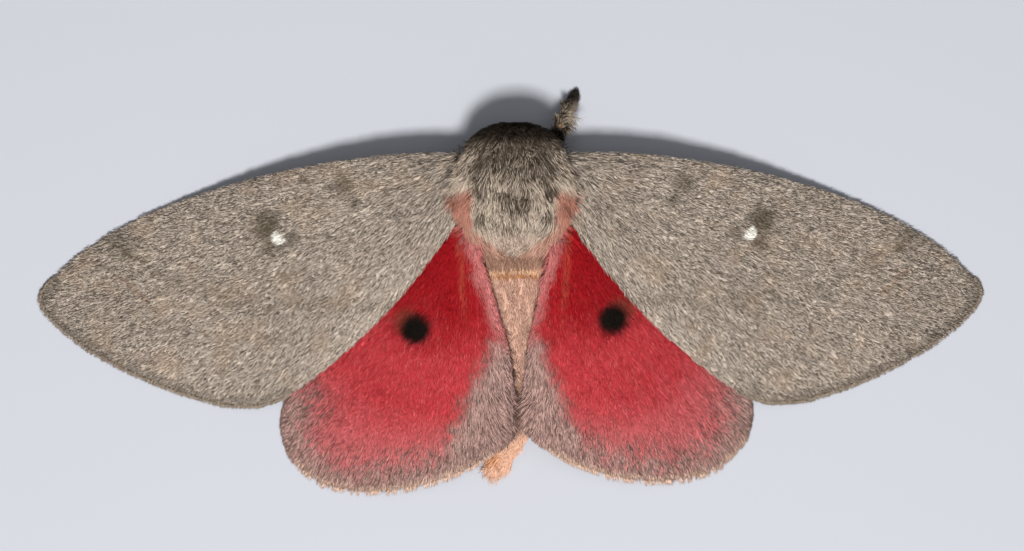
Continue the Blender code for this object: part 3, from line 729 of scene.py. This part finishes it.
for number, (name, (part, count, long, wide, lift)) in enumerate(BODY_COATS.items()):
    draw = np.random.default_rng(BODY_SEED + number)
    count = thin(count)
    roots = scatter(body, count, draw, part)
    flow = sway(roots[0], body_flow(roots[0]), draw, BODY_SWAY, BODY_TUFT)
    flow = ruffle(flow, draw, BODY_RUFFLE)
    wide, lift = draw.uniform(*wide, count), draw.uniform(*lift, count)
    long = body_leaf_lengths(long, roots[0], draw)
    coats[name] = (lay_coat(name, roots, flow, long, wide, lift, TWO_RINGS, draw), "body")

# %% [markdown]
# ## Leg coats
#
# The hair of the legs points away from the breast. On the one foreleg that reaches forward it is
# longer at the knee, where it hangs back as a small beard, and shorter towards the foot.

# %% Leg coats
LEG_SEED = 80
LEG_COUNT = 1200
LEG_LONG, LEG_WIDE, LEG_LIFT = (0.4, 0.8), (0.05, 0.09), (0.06, 0.24)
LEG_RUFFLE = 0.25
BREAST = np.array([MID_X, SHIFT_Y + 9 * U, 4 * U])
BEARD = np.array([0.45, -1.0, -0.2])


def knee_share(point):
    """One on the knee of the foreleg that reaches forward, zero elsewhere."""
    out, along = out_along(point)
    return blend(along, 12.6, 13.3) * (1 - blend(along, 14.6, 15.2)) * blend(out, 3.6, 4.1)


for number, node in enumerate(LEGS):
    draw = np.random.default_rng(LEG_SEED + number)
    count = thin(LEG_COUNT)
    roots = scatter(limbs[node], count, draw, lambda centre, normal: centre[:, 2] > 0.25 * U)
    away = unit(roots[0] - BREAST)
    knee = knee_share(roots[0])
    flow = ruffle(unit(away + knee[:, None] * (BEARD - away)), draw, LEG_RUFFLE)
    long, wide, lift = (draw.uniform(*span, count) for span in (LEG_LONG, LEG_WIDE, LEG_LIFT))
    long = long * (1 + knee - 0.5 * blend(out_along(roots[0])[1], 15.2, 16.2))
    name = node + "_coat"
    coats[name] = (lay_coat(name, roots, flow, long, wide, lift, ONE_RING, draw), "leg")

# %% [markdown]
# ## Feeler combs
#
# The feelers of a male silk moth are feathered. Fine rays stand out from both sides of the middle
# part, and the tips are bare. The solids have the broad teeth of the comb, and these rays fill it.

# %% Feeler combs
FEELER_SEED = 90
RAY_COUNT = 260
RAY_LONG, RAY_WIDE, RAY_LIFT = (0.3, 0.5), 0.06, (0.5, 0.9)
COMB_ALONG = (6.5, 12.4)


def comb_sides(centre, normal):
    along = out_along(centre)[1]
    return (np.abs(normal[:, 2]) < 0.4) & (along < COMB_ALONG[1]) & (along > COMB_ALONG[0])


for number, node in enumerate(FEELERS):
    draw = np.random.default_rng(FEELER_SEED + number)
    roots = scatter(limbs[node], RAY_COUNT, draw, comb_sides)
    flow = np.tile([0.0, -1.0, -0.2], (RAY_COUNT, 1))
    long, lift = draw.uniform(*RAY_LONG, RAY_COUNT), draw.uniform(*RAY_LIFT, RAY_COUNT)
    name = node + "_comb"
    coats[name] = (lay_coat(name, roots, flow, long, RAY_WIDE, lift, ONE_RING, draw), "leg")

# %% [markdown]
# ## Markings
#
# Colours are node groups on the place of a point on the moth. They could be painted pictures,
# but a group has no edge of pixels and needs no file. The skin feeds its Object coordinates into
# them and the coat feeds the place each leaf keeps, so both agree. The distance from the outer
# margin is an attribute of both, for the bands and fringe along it. The numbers in the markings
# are places and widths in U, or shares from zero to one.


# %% A small builder for shader nodes
class Graph:
    """Adds nodes to a tree. Every method but feed and rgba returns a new node or its output."""

    def __init__(self, tree):
        self.tree = tree

    def node(self, kind, **settings):
        made = self.tree.nodes.new(kind)
        for key, value in settings.items():
            setattr(made, key, value)
        return made

    def feed(self, socket, value):
        if isinstance(value, bpy.types.NodeSocket):
            self.tree.links.new(value, socket)
        else:
            socket.default_value = value

    def math(self, operation, a, *more):
        made = self.node("ShaderNodeMath", operation=operation)
        for socket, value in zip(made.inputs, (a, *more)):
            self.feed(socket, value)
        return made.outputs[0]

    def plus(self, a, b):
        return self.math("ADD", a, b)

    def minus(self, a, b):
        return self.math("SUBTRACT", a, b)

    def times(self, a, b):
        return self.math("MULTIPLY", a, b)

    def ease(self, value, low, high):
        """Rises from zero at low to one at high, or falls if low is the larger."""
        made = self.node("ShaderNodeMapRange", interpolation_type="SMOOTHSTEP")
        self.feed(made.inputs["Value"], value)
        self.feed(made.inputs["From Min"], min(low, high))
        self.feed(made.inputs["From Max"], max(low, high))
        rising = made.outputs["Result"]
        return rising if low < high else self.minus(1.0, rising)

    def mix(self, share, a, b):
        made = self.node("ShaderNodeMix", data_type="RGBA")
        self.feed(made.inputs["Factor"], share)
        self.feed(made.inputs[6], self.rgba(a))
        self.feed(made.inputs[7], self.rgba(b))
        return made.outputs[2]

    def rgba(self, colour):
        return colour if isinstance(colour, bpy.types.NodeSocket) else (*colour, 1)

    def noise(self, place, scale, detail=2.0):
        made = self.node("ShaderNodeTexNoise")
        self.feed(made.inputs["Vector"], place)
        made.inputs["Scale"].default_value = scale
        made.inputs["Detail"].default_value = detail
        return made.outputs["Fac"]

    def length(self, x, y):
        return self.math("SQRT", self.plus(self.times(x, x), self.times(y, y)))

    def spot(self, out, along, at, radius, soft, strength=1.0):
        """The strength inside a round spot, falling to zero round it."""
        away = self.length(self.minus(out, at[0]), self.minus(along, at[1]))
        return self.times(self.ease(away, radius + soft, radius), strength)

    def line(self, a, b, half, soft, strength=1.0):
        """The strength where two values agree, within half, falling to zero over soft."""
        away = self.math("ABSOLUTE", self.minus(a, b))
        return self.times(self.ease(away, half + soft, half), strength)

    def sum_of(self, value, *terms):
        """value + a1 * b1 + a2 * b2 and so on."""
        for a, b in terms:
            value = self.plus(value, self.times(a, b))
        return value


# %% The start of a group of markings
def new_group(name):
    """A node group that takes a place, a shade and an edge distance and gives a colour."""
    tree = bpy.data.node_groups.new(name, "ShaderNodeTree")
    tree.interface.new_socket("Place", in_out="INPUT", socket_type="NodeSocketVector")
    tree.interface.new_socket("Shade", in_out="INPUT", socket_type="NodeSocketFloat")
    tree.interface.new_socket("Edge", in_out="INPUT", socket_type="NodeSocketFloat")
    tree.interface.new_socket("Colour", in_out="OUTPUT", socket_type="NodeSocketColor")
    graph = Graph(tree)
    start = graph.node("NodeGroupInput")
    return graph, start.outputs, graph.node("NodeGroupOutput").inputs["Colour"]


def end_group(graph, colour, colour_out):
    graph.feed(colour_out, colour)
    print(graph.tree.name, len(graph.tree.nodes), "nodes")
    return graph.tree


def body_axes(graph, place, lean):
    """Distance out from the midline and place along the body, both in U."""
    made = graph.node("ShaderNodeSeparateXYZ")
    graph.feed(made.inputs[0], place)
    x = graph.math("DIVIDE", graph.minus(made.outputs[0], MID_X), U)
    y = graph.math("DIVIDE", graph.minus(made.outputs[1], SHIFT_Y), U)
    return graph.math("ABSOLUTE", x), graph.sum_of(y, (x, -lean))


def unevenness(graph, place, scale):
    """A slow random change over the skin, from about minus a half to a half."""
    return graph.minus(graph.noise(place, scale / U, 3.0), 0.5)


# %% [markdown]
# ### Forewing
#
# The real forewing is grey, from dark and pale scales side by side. It has faint dark smudges, a
# dim band across it, one small white wedge and a dark margin. Each leaf's random shade decides
# between dark and pale, so the grey is made of single leaves, and the smudges are soft spots.

# %% Forewing markings
DARK_SCALE = (0.088, 0.069, 0.053)
PALE_SCALE = (0.51, 0.43, 0.36)
OCHRE = (0.42, 0.29, 0.19)
OLIVE = (0.08, 0.06, 0.035)
CREAM = (0.38, 0.30, 0.22)
WHITE = (0.80, 0.77, 0.70)
STREAK_BROWN = (0.2, 0.1, 0.05)
# Each smudge is its place out and along, its radius, its soft rim and its strength.
SMUDGES = [
    ((20.9, 5.7), 0.3, 1.6, 0.78),
    ((20.6, 3.9), 0.1, 1.3, 0.55),
    ((18.6, 4.6), 0.1, 0.9, 0.5),
    ((14.3, 8.9), 0.3, 1.1, 0.6),
    ((13.4, 7.4), 0.1, 0.8, 0.5),
    ((33.0, 4.0), 0.2, 1.5, 0.4),
    ((32.6, 3.3), 0.1, 0.6, 0.45),
]


def forewing_tone(graph, shade, out, along):
    """A little paler along the inner margin, darker near the body, the tip and the front edge."""
    inner = graph.sum_of(graph.times(graph.minus(out, 4.9), 0.742), (graph.minus(along, 5.6), 0.671))
    shade = graph.sum_of(shade, (graph.ease(inner, 3.0, 0.0), 0.08), (graph.ease(out, 16, 6), -0.06),
                         (graph.ease(out, 27, 36), -0.08))
    fall = graph.math("MAXIMUM", graph.math("DIVIDE", graph.minus(out, 7.0), 30.0), 0.0)
    front = graph.minus(graph.minus(11.65, along), graph.times(graph.times(fall, fall), 8.1))
    return graph.minus(shade, graph.times(graph.ease(front, 2.4, 0.2), 0.08))


def forewing_band(graph, place, out, along):
    """A dim band across the wing, which bends forward towards the tip."""
    drift = graph.times(graph.minus(graph.noise(place, 0.5 / U), 0.5), 2.4)
    far = graph.math("MAXIMUM", graph.minus(out, 14.0), 0.0)
    bend = graph.times(graph.math("POWER", far, 3.0), 0.0007)
    return graph.line(graph.plus(along, drift), graph.minus(bend, 1.1), 0.1, 0.7, 0.22)


def forewing_streak(graph, out, along):
    """A short brown streak near the tip."""
    streak = graph.line(graph.sum_of(along, (out, -0.92)), -29.2, 0.1, 0.5, 0.3)
    return graph.times(streak, graph.spot(out, along, (32.2, 0.4), 1.4, 0.5))


def forewing_wedge(graph, out, along):
    """The white wedge: a small round spot cut off along a slanting line."""
    wedge = graph.ease(graph.sum_of(out, (along, -1.05)), 14.4, 14.75)
    return graph.times(wedge, graph.spot(out, along, (19.85, 4.65), 0.5, 0.2))


def forewing_markings():
    graph, given, colour_out = new_group("forewing markings")
    place, edge = given["Place"], given["Edge"]
    out, along = body_axes(graph, place, 0.01)
    shade = forewing_tone(graph, given["Shade"], out, along)
    colour = graph.mix(graph.ease(shade, -0.08, 0.95), DARK_SCALE, PALE_SCALE)
    warm = graph.ease(graph.noise(place, 0.4 / U, 3.0), 0.5, 0.72)
    colour = graph.mix(graph.times(warm, 0.3), colour, OCHRE)
    colour = graph.mix(forewing_band(graph, place, out, along), colour, OLIVE)
    for smudge in SMUDGES:
        colour = graph.mix(graph.spot(out, along, *smudge), colour, OLIVE)
    colour = graph.mix(forewing_streak(graph, out, along), colour, STREAK_BROWN)
    colour = graph.mix(forewing_wedge(graph, out, along), colour, WHITE)
    colour = graph.mix(graph.times(graph.ease(edge, 0.9, 0.2), 0.4), colour, DARK_SCALE)
    colour = graph.mix(graph.times(graph.ease(edge, 0.05, -0.15), 0.5), colour, CREAM)
    return end_group(graph, colour, colour_out)


GROUPS = {"forewing": forewing_markings()}

# %% [markdown]
# ### Hindwing
#
# The real hindwing is crimson at its root and rosier outwards. Grey scales cover it along the
# outer margin and behind along the inner one, and a black eye spot lies in the red. Each colour
# is mixed over the last one, and a slow unevenness and each leaf's shade break up its border.

# %% Hindwing markings
CRIMSON = (0.29, 0.006, 0.010)
RED = (0.47, 0.041, 0.050)
PINK = (0.63, 0.18, 0.185)
PALE_RED = (0.62, 0.16, 0.15)
GREY_DARK, GREY_PALE = (0.085, 0.050, 0.040), (0.59, 0.375, 0.33)
DUSTY_DARK, DUSTY_PALE = (0.30, 0.085, 0.085), (0.74, 0.27, 0.26)
ROSY_DARK, ROSY_PALE = (0.26, 0.09, 0.085), (0.62, 0.20, 0.19)
TAN_DARK, TAN_PALE = (0.40, 0.25, 0.18), (0.80, 0.58, 0.46)
RUST = (0.60, 0.24, 0.13)
BASE_PINK = (0.50, 0.22, 0.17)
EYE_SPOT_SHADOW = (0.11, 0.04, 0.02)
BLACK = (0.006, 0.004, 0.003)


def hindwing_red(graph, shade, out, along, patchy):
    """Crimson at the root, red and then pink outwards, with some paler leaves."""
    away = graph.length(graph.minus(out, 4.0), graph.minus(along, 4.5))
    away = graph.sum_of(away, (patchy, 5.0))
    colour = graph.mix(graph.ease(away, 6, 12.5), CRIMSON, RED)
    colour = graph.mix(graph.times(graph.ease(away, 14, 21), 0.65), colour, PINK)
    pale = graph.times(graph.ease(shade, 0.72, 1.0), graph.ease(away, 2, 12))
    return graph.mix(graph.times(pale, 0.45), colour, PALE_RED)


def hindwing_grey(graph, colour, given, out, along, patchy):
    """Dusty pink and then grey towards the outer margin, and grey behind at the inner one."""
    shade = given["Shade"]
    grey = graph.mix(shade, GREY_DARK, GREY_PALE)
    speckle = graph.minus(shade, 0.5)
    band = graph.sum_of(given["Edge"], (patchy, 3.0), (speckle, 3.4))
    dusty = graph.mix(shade, DUSTY_DARK, DUSTY_PALE)
    colour = graph.mix(graph.times(graph.ease(band, 4.4, 2.0), 0.6), colour, dusty)
    colour = graph.mix(graph.ease(band, 2.7, 1.1), colour, grey)
    behind = graph.minus(-4.8, along)
    inner = graph.sum_of(graph.plus(out, -2.2), (behind, -0.42), (patchy, 2.5), (speckle, 1.5))
    inner = graph.times(graph.ease(inner, 0.8, -0.6), graph.ease(along, -2.6, -4.6))
    return graph.mix(inner, colour, grey)


def hindwing_inner(graph, colour, shade, out, along, patchy):
    """A rosy strip beside the abdomen, a rust streak outside it and a pink base."""
    speckle = graph.minus(shade, 0.5)
    strip = graph.sum_of(graph.minus(out, 2.27), (along, -0.32), (patchy, 1.4), (speckle, 1.0))
    rosy = graph.mix(shade, ROSY_DARK, ROSY_PALE)
    fall = graph.ease(along, -6.0, -3.6)
    colour = graph.mix(graph.times(graph.ease(strip, 1.1, 0.2), fall), colour, rosy)
    streak = graph.line(graph.sum_of(out, (along, -0.1), (patchy, 0.8)), 4.25, 0.1, 0.4, 0.2)
    streak = graph.times(streak, graph.ease(shade, 0.2, 0.7))
    colour = graph.mix(graph.times(streak, graph.ease(along, -4.0, 1.0)), colour, RUST)
    base = graph.ease(graph.sum_of(along, (patchy, 2.0)), 4.8, 6.2)
    return graph.mix(graph.times(base, 0.8), colour, BASE_PINK)


def hindwing_markings():
    graph, given, colour_out = new_group("hindwing markings")
    place, shade = given["Place"], given["Shade"]
    out, along = body_axes(graph, place, 0.05)
    patchy = unevenness(graph, place, 0.7)
    colour = hindwing_red(graph, shade, out, along, patchy)
    colour = hindwing_grey(graph, colour, given, out, along, patchy)
    colour = hindwing_inner(graph, colour, shade, out, along, patchy)
    colour = graph.mix(graph.spot(out, along, (9.1, -2.1), 0.6, 0.9, 0.6), colour, EYE_SPOT_SHADOW)
    colour = graph.mix(graph.spot(out, along, (8.3, -2.85), 0.8, 0.95), colour, BLACK)
    fringe = graph.times(graph.ease(given["Edge"], 0.2, -0.2), graph.ease(along, -12.5, -14.5))
    tan = graph.mix(shade, TAN_DARK, TAN_PALE)
    colour = graph.mix(graph.times(fringe, 0.85), colour, tan)
    return end_group(graph, colour, colour_out)


GROUPS["hindwing"] = hindwing_markings()

# %% [markdown]
# ### Body
#
# The real thorax is grey with darker patches, and black at the front. Behind it come a cream
# shield, a brown band and two thin lines, and then the peach abdomen with its orange tail. The
# tufts beside the shield are rosy. The same way is used as on the wings, with each colour mixed
# over the last.

# %% Body markings
FUR_DARK, FUR_PALE = (0.06, 0.044, 0.031), (0.545, 0.45, 0.36)
SHIELD_DARK, SHIELD_PALE = (0.36, 0.26, 0.20), (0.62, 0.49, 0.40)
PEACH_DARK, PEACH_PALE = (0.38, 0.21, 0.15), (0.56, 0.35, 0.27)
TUFT_DARK, TUFT_PALE = (0.22, 0.10, 0.075), (0.50, 0.23, 0.165)
FRONT_DARK, FRONT_PALE = (0.003, 0.002, 0.0015), (0.034, 0.024, 0.016)
BROWN = (0.20, 0.11, 0.075)
LINE_OCHRE, LINE_RUST = (0.72, 0.44, 0.26), (0.36, 0.15, 0.05)
ORANGE, TAIL_BROWN = (0.76, 0.46, 0.32), (0.62, 0.27, 0.11)
# Each patch is its place out and along, its radius, its soft rim and how much paler it is.
THORAX_PATCHES = [
    ((0.2, 7.3), 0.6, 0.9, -0.4),
    ((3.0, 8.1), 0.2, 0.6, -0.6),
    ((2.7, 5.9), 0.2, 0.7, -0.5),
    ((0.0, 8.9), 0.6, 1.0, 0.08),
]


def thorax_tone(graph, shade, out, along, patchy):
    """Darker in front, with patches, and paler over the shoulders."""
    tone = graph.sum_of(shade, (graph.ease(along, 8.0, 10.2), -0.46), (graph.ease(along, 8.0, 6.0), 0.14),
                        (patchy, 0.8))
    for patch in THORAX_PATCHES:
        tone = graph.plus(tone, graph.spot(out, along, *patch))
    beside = graph.times(graph.ease(out, 2.6, 4.0), graph.ease(along, 12.0, 10.8))
    return graph.sum_of(tone, (graph.times(beside, graph.ease(along, 6.0, 7.5)), 0.45))


def pink_and_peach(graph, colour, shade, out, along, patchy):
    """Peach on the abdomen and rosy tufts, outside the shield that narrows towards the tail."""
    peach = graph.mix(shade, PEACH_DARK, PEACH_PALE)
    half = graph.math("MINIMUM", graph.times(graph.minus(along, 2.9), 1.5), 3.3)
    beside = graph.minus(graph.sum_of(out, (patchy, 1.2)), half)
    pink = graph.times(graph.ease(beside, -0.25, 0.35), graph.ease(along, 8.6, 7.6))
    rosy = graph.mix(shade, TUFT_DARK, TUFT_PALE)
    return graph.mix(pink, colour, graph.mix(graph.ease(along, 3.0, 6.0), peach, rosy))


def waist_lines(graph, colour, shade, along, patchy):
    """A brown band behind the shield, and an ochre and a rust line behind that."""
    band = graph.line(graph.sum_of(along, (patchy, 0.8)), 2.4, 0.45, 0.35, 0.9)
    colour = graph.mix(graph.times(band, graph.ease(shade, 0.0, 0.6)), colour, BROWN)
    colour = graph.mix(graph.line(along, 1.62, 0.1, 0.12, 0.8), colour, LINE_OCHRE)
    return graph.mix(graph.line(along, 1.18, 0.1, 0.14, 0.85), colour, LINE_RUST)


def body_markings():
    graph, given, colour_out = new_group("body markings")
    place, shade = given["Place"], given["Shade"]
    out, along = body_axes(graph, place, 0.0)
    patchy = unevenness(graph, place, 0.8)
    tone = thorax_tone(graph, shade, out, along, patchy)
    colour = graph.mix(graph.ease(tone, 0.0, 1.0), FUR_DARK, FUR_PALE)
    shield = graph.mix(shade, SHIELD_DARK, SHIELD_PALE)
    colour = graph.mix(graph.ease(graph.sum_of(along, (patchy, 1.5)), 5.2, 4.2), colour, shield)
    colour = pink_and_peach(graph, colour, shade, out, along, patchy)
    colour = waist_lines(graph, colour, shade, along, patchy)
    colour = graph.mix(graph.times(graph.ease(along, -11.4, -13.2), 0.8), colour, ORANGE)
    colour = graph.mix(graph.spot(out, along, (1.9, -14.3), 0.2, 0.9, 0.7), colour, TAIL_BROWN)
    front = graph.times(graph.ease(graph.sum_of(along, (patchy, 0.8)), 11.6, 12.9), 0.98)
    colour = graph.mix(front, colour, graph.mix(shade, FRONT_DARK, FRONT_PALE))
    return end_group(graph, colour, colour_out)


GROUPS["body"] = body_markings()

# %% [markdown]
# ### Legs and feelers
#
# The legs are dark brown and grey. The foreleg that reaches forward is black at its foot, and its
# thigh is painted near black as shade. Its shin has a paler outer side, and a small painted
# orange glint lies at the knee. The feelers lie under the wings and share this group.

# %% Leg markings
LEG_DARK, LEG_PALE = (0.025, 0.017, 0.011), (0.38, 0.30, 0.22)
SHIN_PALE = (0.50, 0.41, 0.31)
# The orange of a painted glint on the shiny knee.
KNEE_GLINT = (0.45, 0.15, 0.03)


def leg_markings():
    graph, given, colour_out = new_group("leg markings")
    shade = given["Shade"]
    out, along = body_axes(graph, given["Place"], 0.0)
    colour = graph.mix(graph.ease(shade, 0.25, 1.0), LEG_DARK, LEG_PALE)
    beside = graph.sum_of(graph.minus(out, 3.85), (graph.minus(along, 13.7), -0.44))
    pale = graph.times(graph.ease(beside, 0.05, 0.5), graph.ease(along, 13.6, 14.2))
    colour = graph.mix(graph.times(pale, 0.6), colour, SHIN_PALE)
    colour = graph.mix(graph.times(graph.ease(along, 15.5, 16.3), 0.9), colour, BLACK)
    # Painted shade: the foreleg's thigh lies in shade, so it is darkened nearly to black.
    thigh_shade = graph.times(graph.ease(along, 13.9, 13.4), graph.ease(along, 11.0, 12.0))
    thigh_shade = graph.times(thigh_shade, graph.ease(out, 4.5, 4.1))
    colour = graph.mix(graph.times(thigh_shade, 0.85), colour, BLACK)
    # Painted highlight: a small orange glint on the shiny knee.
    colour = graph.mix(graph.spot(out, along, (3.85, 13.85), 0.02, 0.16, 0.6), colour, KNEE_GLINT)
    return end_group(graph, colour, colour_out)


GROUPS["leg"] = leg_markings()

# %% [markdown]
# ## Materials
#
# Skin and coat share each group of markings. Hair and scales are matt, so their roughness is
# high and their shine low, and each leaf is lighter towards its tip, as thin hair lets light
# through there. The skin has no leaves, so its shade is a fine noise.


# %% Materials of skin and coat
FUR_ROUGH, FUR_SHINE = 0.7, 0.08
ROOT_LIGHT, TIP_MORE = 0.8, 0.4
SKIN_GRAIN = 4.0


def new_material(name, rough, specular):
    material = bpy.data.materials.new(name)
    material.use_nodes = True
    shader = material.node_tree.nodes["Principled BSDF"]
    shader.inputs["Roughness"].default_value = rough
    shader.inputs["Specular IOR Level"].default_value = specular
    return material, Graph(material.node_tree), shader


def kept(graph, name, output="Fac"):
    """The value that the leaves or the skin keep under a name."""
    return graph.node("ShaderNodeAttribute", attribute_name=name).outputs[output]


def marked(name, group, coat):
    """A material with one group of markings, for the coat or for the skin under it."""
    material, graph, shader = new_material(name, FUR_ROUGH, FUR_SHINE)
    marks = graph.node("ShaderNodeGroup", node_tree=GROUPS[group])
    graph.feed(marks.inputs["Edge"], kept(graph, "edge"))
    colour = marks.outputs["Colour"]
    if coat:
        place, shade, rise = kept(graph, "place", "Vector"), kept(graph, "shade"), kept(graph, "rise")
        light = graph.node("ShaderNodeHueSaturation")
        graph.feed(light.inputs["Value"], graph.plus(ROOT_LIGHT, graph.times(rise, TIP_MORE)))
        graph.feed(light.inputs["Color"], colour)
        colour = light.outputs["Color"]
    else:
        place = graph.node("ShaderNodeTexCoord").outputs["Object"]
        shade = graph.noise(place, SKIN_GRAIN / U)
    graph.feed(marks.inputs["Place"], place)
    graph.feed(marks.inputs["Shade"], shade)
    graph.feed(shader.inputs["Base Color"], colour)
    return material


looks = {}
for group in GROUPS:
    looks[group] = marked(group + "_skin", group, False)
    looks[group + "_coat"] = marked(group + "_coat", group, True)
print("materials with markings:", ", ".join(looks))

# %% [markdown]
# ### Eyes
#
# A moth's eye is a dark glossy ball of many small facets. The facets are far finer than the mesh,
# so they are bumps from a cell pattern.


# %% Eye material
EYE_ROUGH, EYE_SHINE = 0.22, 0.5
EYE_BLACK = (0.012, 0.009, 0.007, 1)
FACETS_PER_U = 9
FACET_BUMP, FACET_DEEP = 0.3, 0.03


def eye_material():
    material, graph, shader = new_material("eye", EYE_ROUGH, EYE_SHINE)
    shader.inputs["Base Color"].default_value = EYE_BLACK
    cells = graph.node("ShaderNodeTexVoronoi")
    graph.feed(cells.inputs["Vector"], graph.node("ShaderNodeTexCoord").outputs["Object"])
    cells.inputs["Scale"].default_value = FACETS_PER_U / U
    bump = graph.node("ShaderNodeBump")
    bump.inputs["Strength"].default_value = FACET_BUMP
    bump.inputs["Distance"].default_value = FACET_DEEP * U
    graph.feed(bump.inputs["Height"], cells.outputs["Distance"])
    graph.feed(shader.inputs["Normal"], bump.outputs["Normal"])
    return material


looks["eye"] = eye_material()
print("eye material:", looks["eye"].name)

# %% [markdown]
# ## Dressing
#
# Every piece gets its material and rides on the one body of this still model.
# Each skin also takes the place of the solids that it was copied from.


def dress(thing, look, nodes=()):
    thing.data.materials.clear()
    thing.data.materials.append(looks[look])
    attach(thing, "root")
    if nodes:
        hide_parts(*nodes)


dress(body, "body", BODY)
for node, wing in wings.items():
    dress(wing, kind_of(node), [node])
for node, limb in limbs.items():
    look = "eye" if node in EYES else "leg"
    dress(limb, look, [node])
for coat, kind in coats.values():
    dress(coat, kind + "_coat")
print("pieces:", 1 + len(wings) + len(limbs) + len(coats))

# %% [markdown]
# ## Floor and light
#
# The moth lies on a plain pale floor, seen from straight above, with the light behind its tail.
# One small lamp gives the shadow along the front edges of the wings. A broad lamp and the world
# fill the rest, which keeps the fur soft.

# %% Floor, lamps and world
FLOOR_WIDE = 0.8
FLOOR_GREY = (0.368, 0.376, 0.412, 1)
WORLD_COLOUR, WORLD_STRENGTH = (0.92, 0.95, 1.0, 1), 0.17
bpy.ops.object.select_all(action="DESELECT")
bpy.ops.mesh.primitive_plane_add(size=FLOOR_WIDE, location=(0, 0, 0))
floor = bpy.context.object
floor.name = "floor"
floor_look, _, floor_shader = new_material("floor", 0.9, 0.2)
floor_shader.inputs["Base Color"].default_value = FLOOR_GREY
floor.data.materials.append(floor_look)


def add_light(name, place, size, energy, colour):
    """A square lamp at a place, turned towards the moth."""
    data = bpy.data.lights.new(name, "AREA")
    data.size, data.energy, data.color = size, energy, colour
    lamp = bpy.data.objects.new(name, data)
    lamp.location = place
    lamp.rotation_euler = (-Vector(place)).to_track_quat("-Z", "Y").to_euler()
    bpy.context.scene.collection.objects.link(lamp)
    print(name, "lamp at", place)


add_light("key", place=(-0.01, -0.14, 0.39), size=0.07, energy=2.7, colour=(1.0, 0.99, 0.97))
add_light("fill", place=(0.05, 0.05, 0.48), size=0.40, energy=0.62, colour=(0.97, 0.98, 1.0))
world = bpy.data.worlds.new("studio")
world.use_nodes = True
world.node_tree.nodes["Background"].inputs["Color"].default_value = WORLD_COLOUR
world.node_tree.nodes["Background"].inputs["Strength"].default_value = WORLD_STRENGTH
bpy.context.scene.world = world
bpy.context.scene.view_settings.view_transform = "Standard"

# %% [markdown]
# ## Camera
#
# The camera looks straight down. The width of its view comes from the size of one pixel of the
# picture on the moth, about a twelfth of a millimetre, measured at the height of the wings.

# %% Camera
PICTURE_WIDE = 1024
PIXEL = 0.0842 * U
VIEW_CENTRE = (0.17 * U, SHIFT_Y + 1.26 * U)
CAMERA_HIGH = 0.4
SUBJECT_HIGH = 2.5 * U
SENSOR_WIDE = 36
camera = bpy.data.cameras.new("camera")
camera.sensor_width = SENSOR_WIDE
camera.lens = SENSOR_WIDE * (CAMERA_HIGH - SUBJECT_HIGH) / (PICTURE_WIDE * PIXEL)
viewer = bpy.data.objects.new("camera", camera)
viewer.location = (*VIEW_CENTRE, CAMERA_HIGH)
bpy.context.scene.collection.objects.link(viewer)
bpy.context.scene.camera = viewer
print("the camera's lens is", round(camera.lens, 2), "mm")
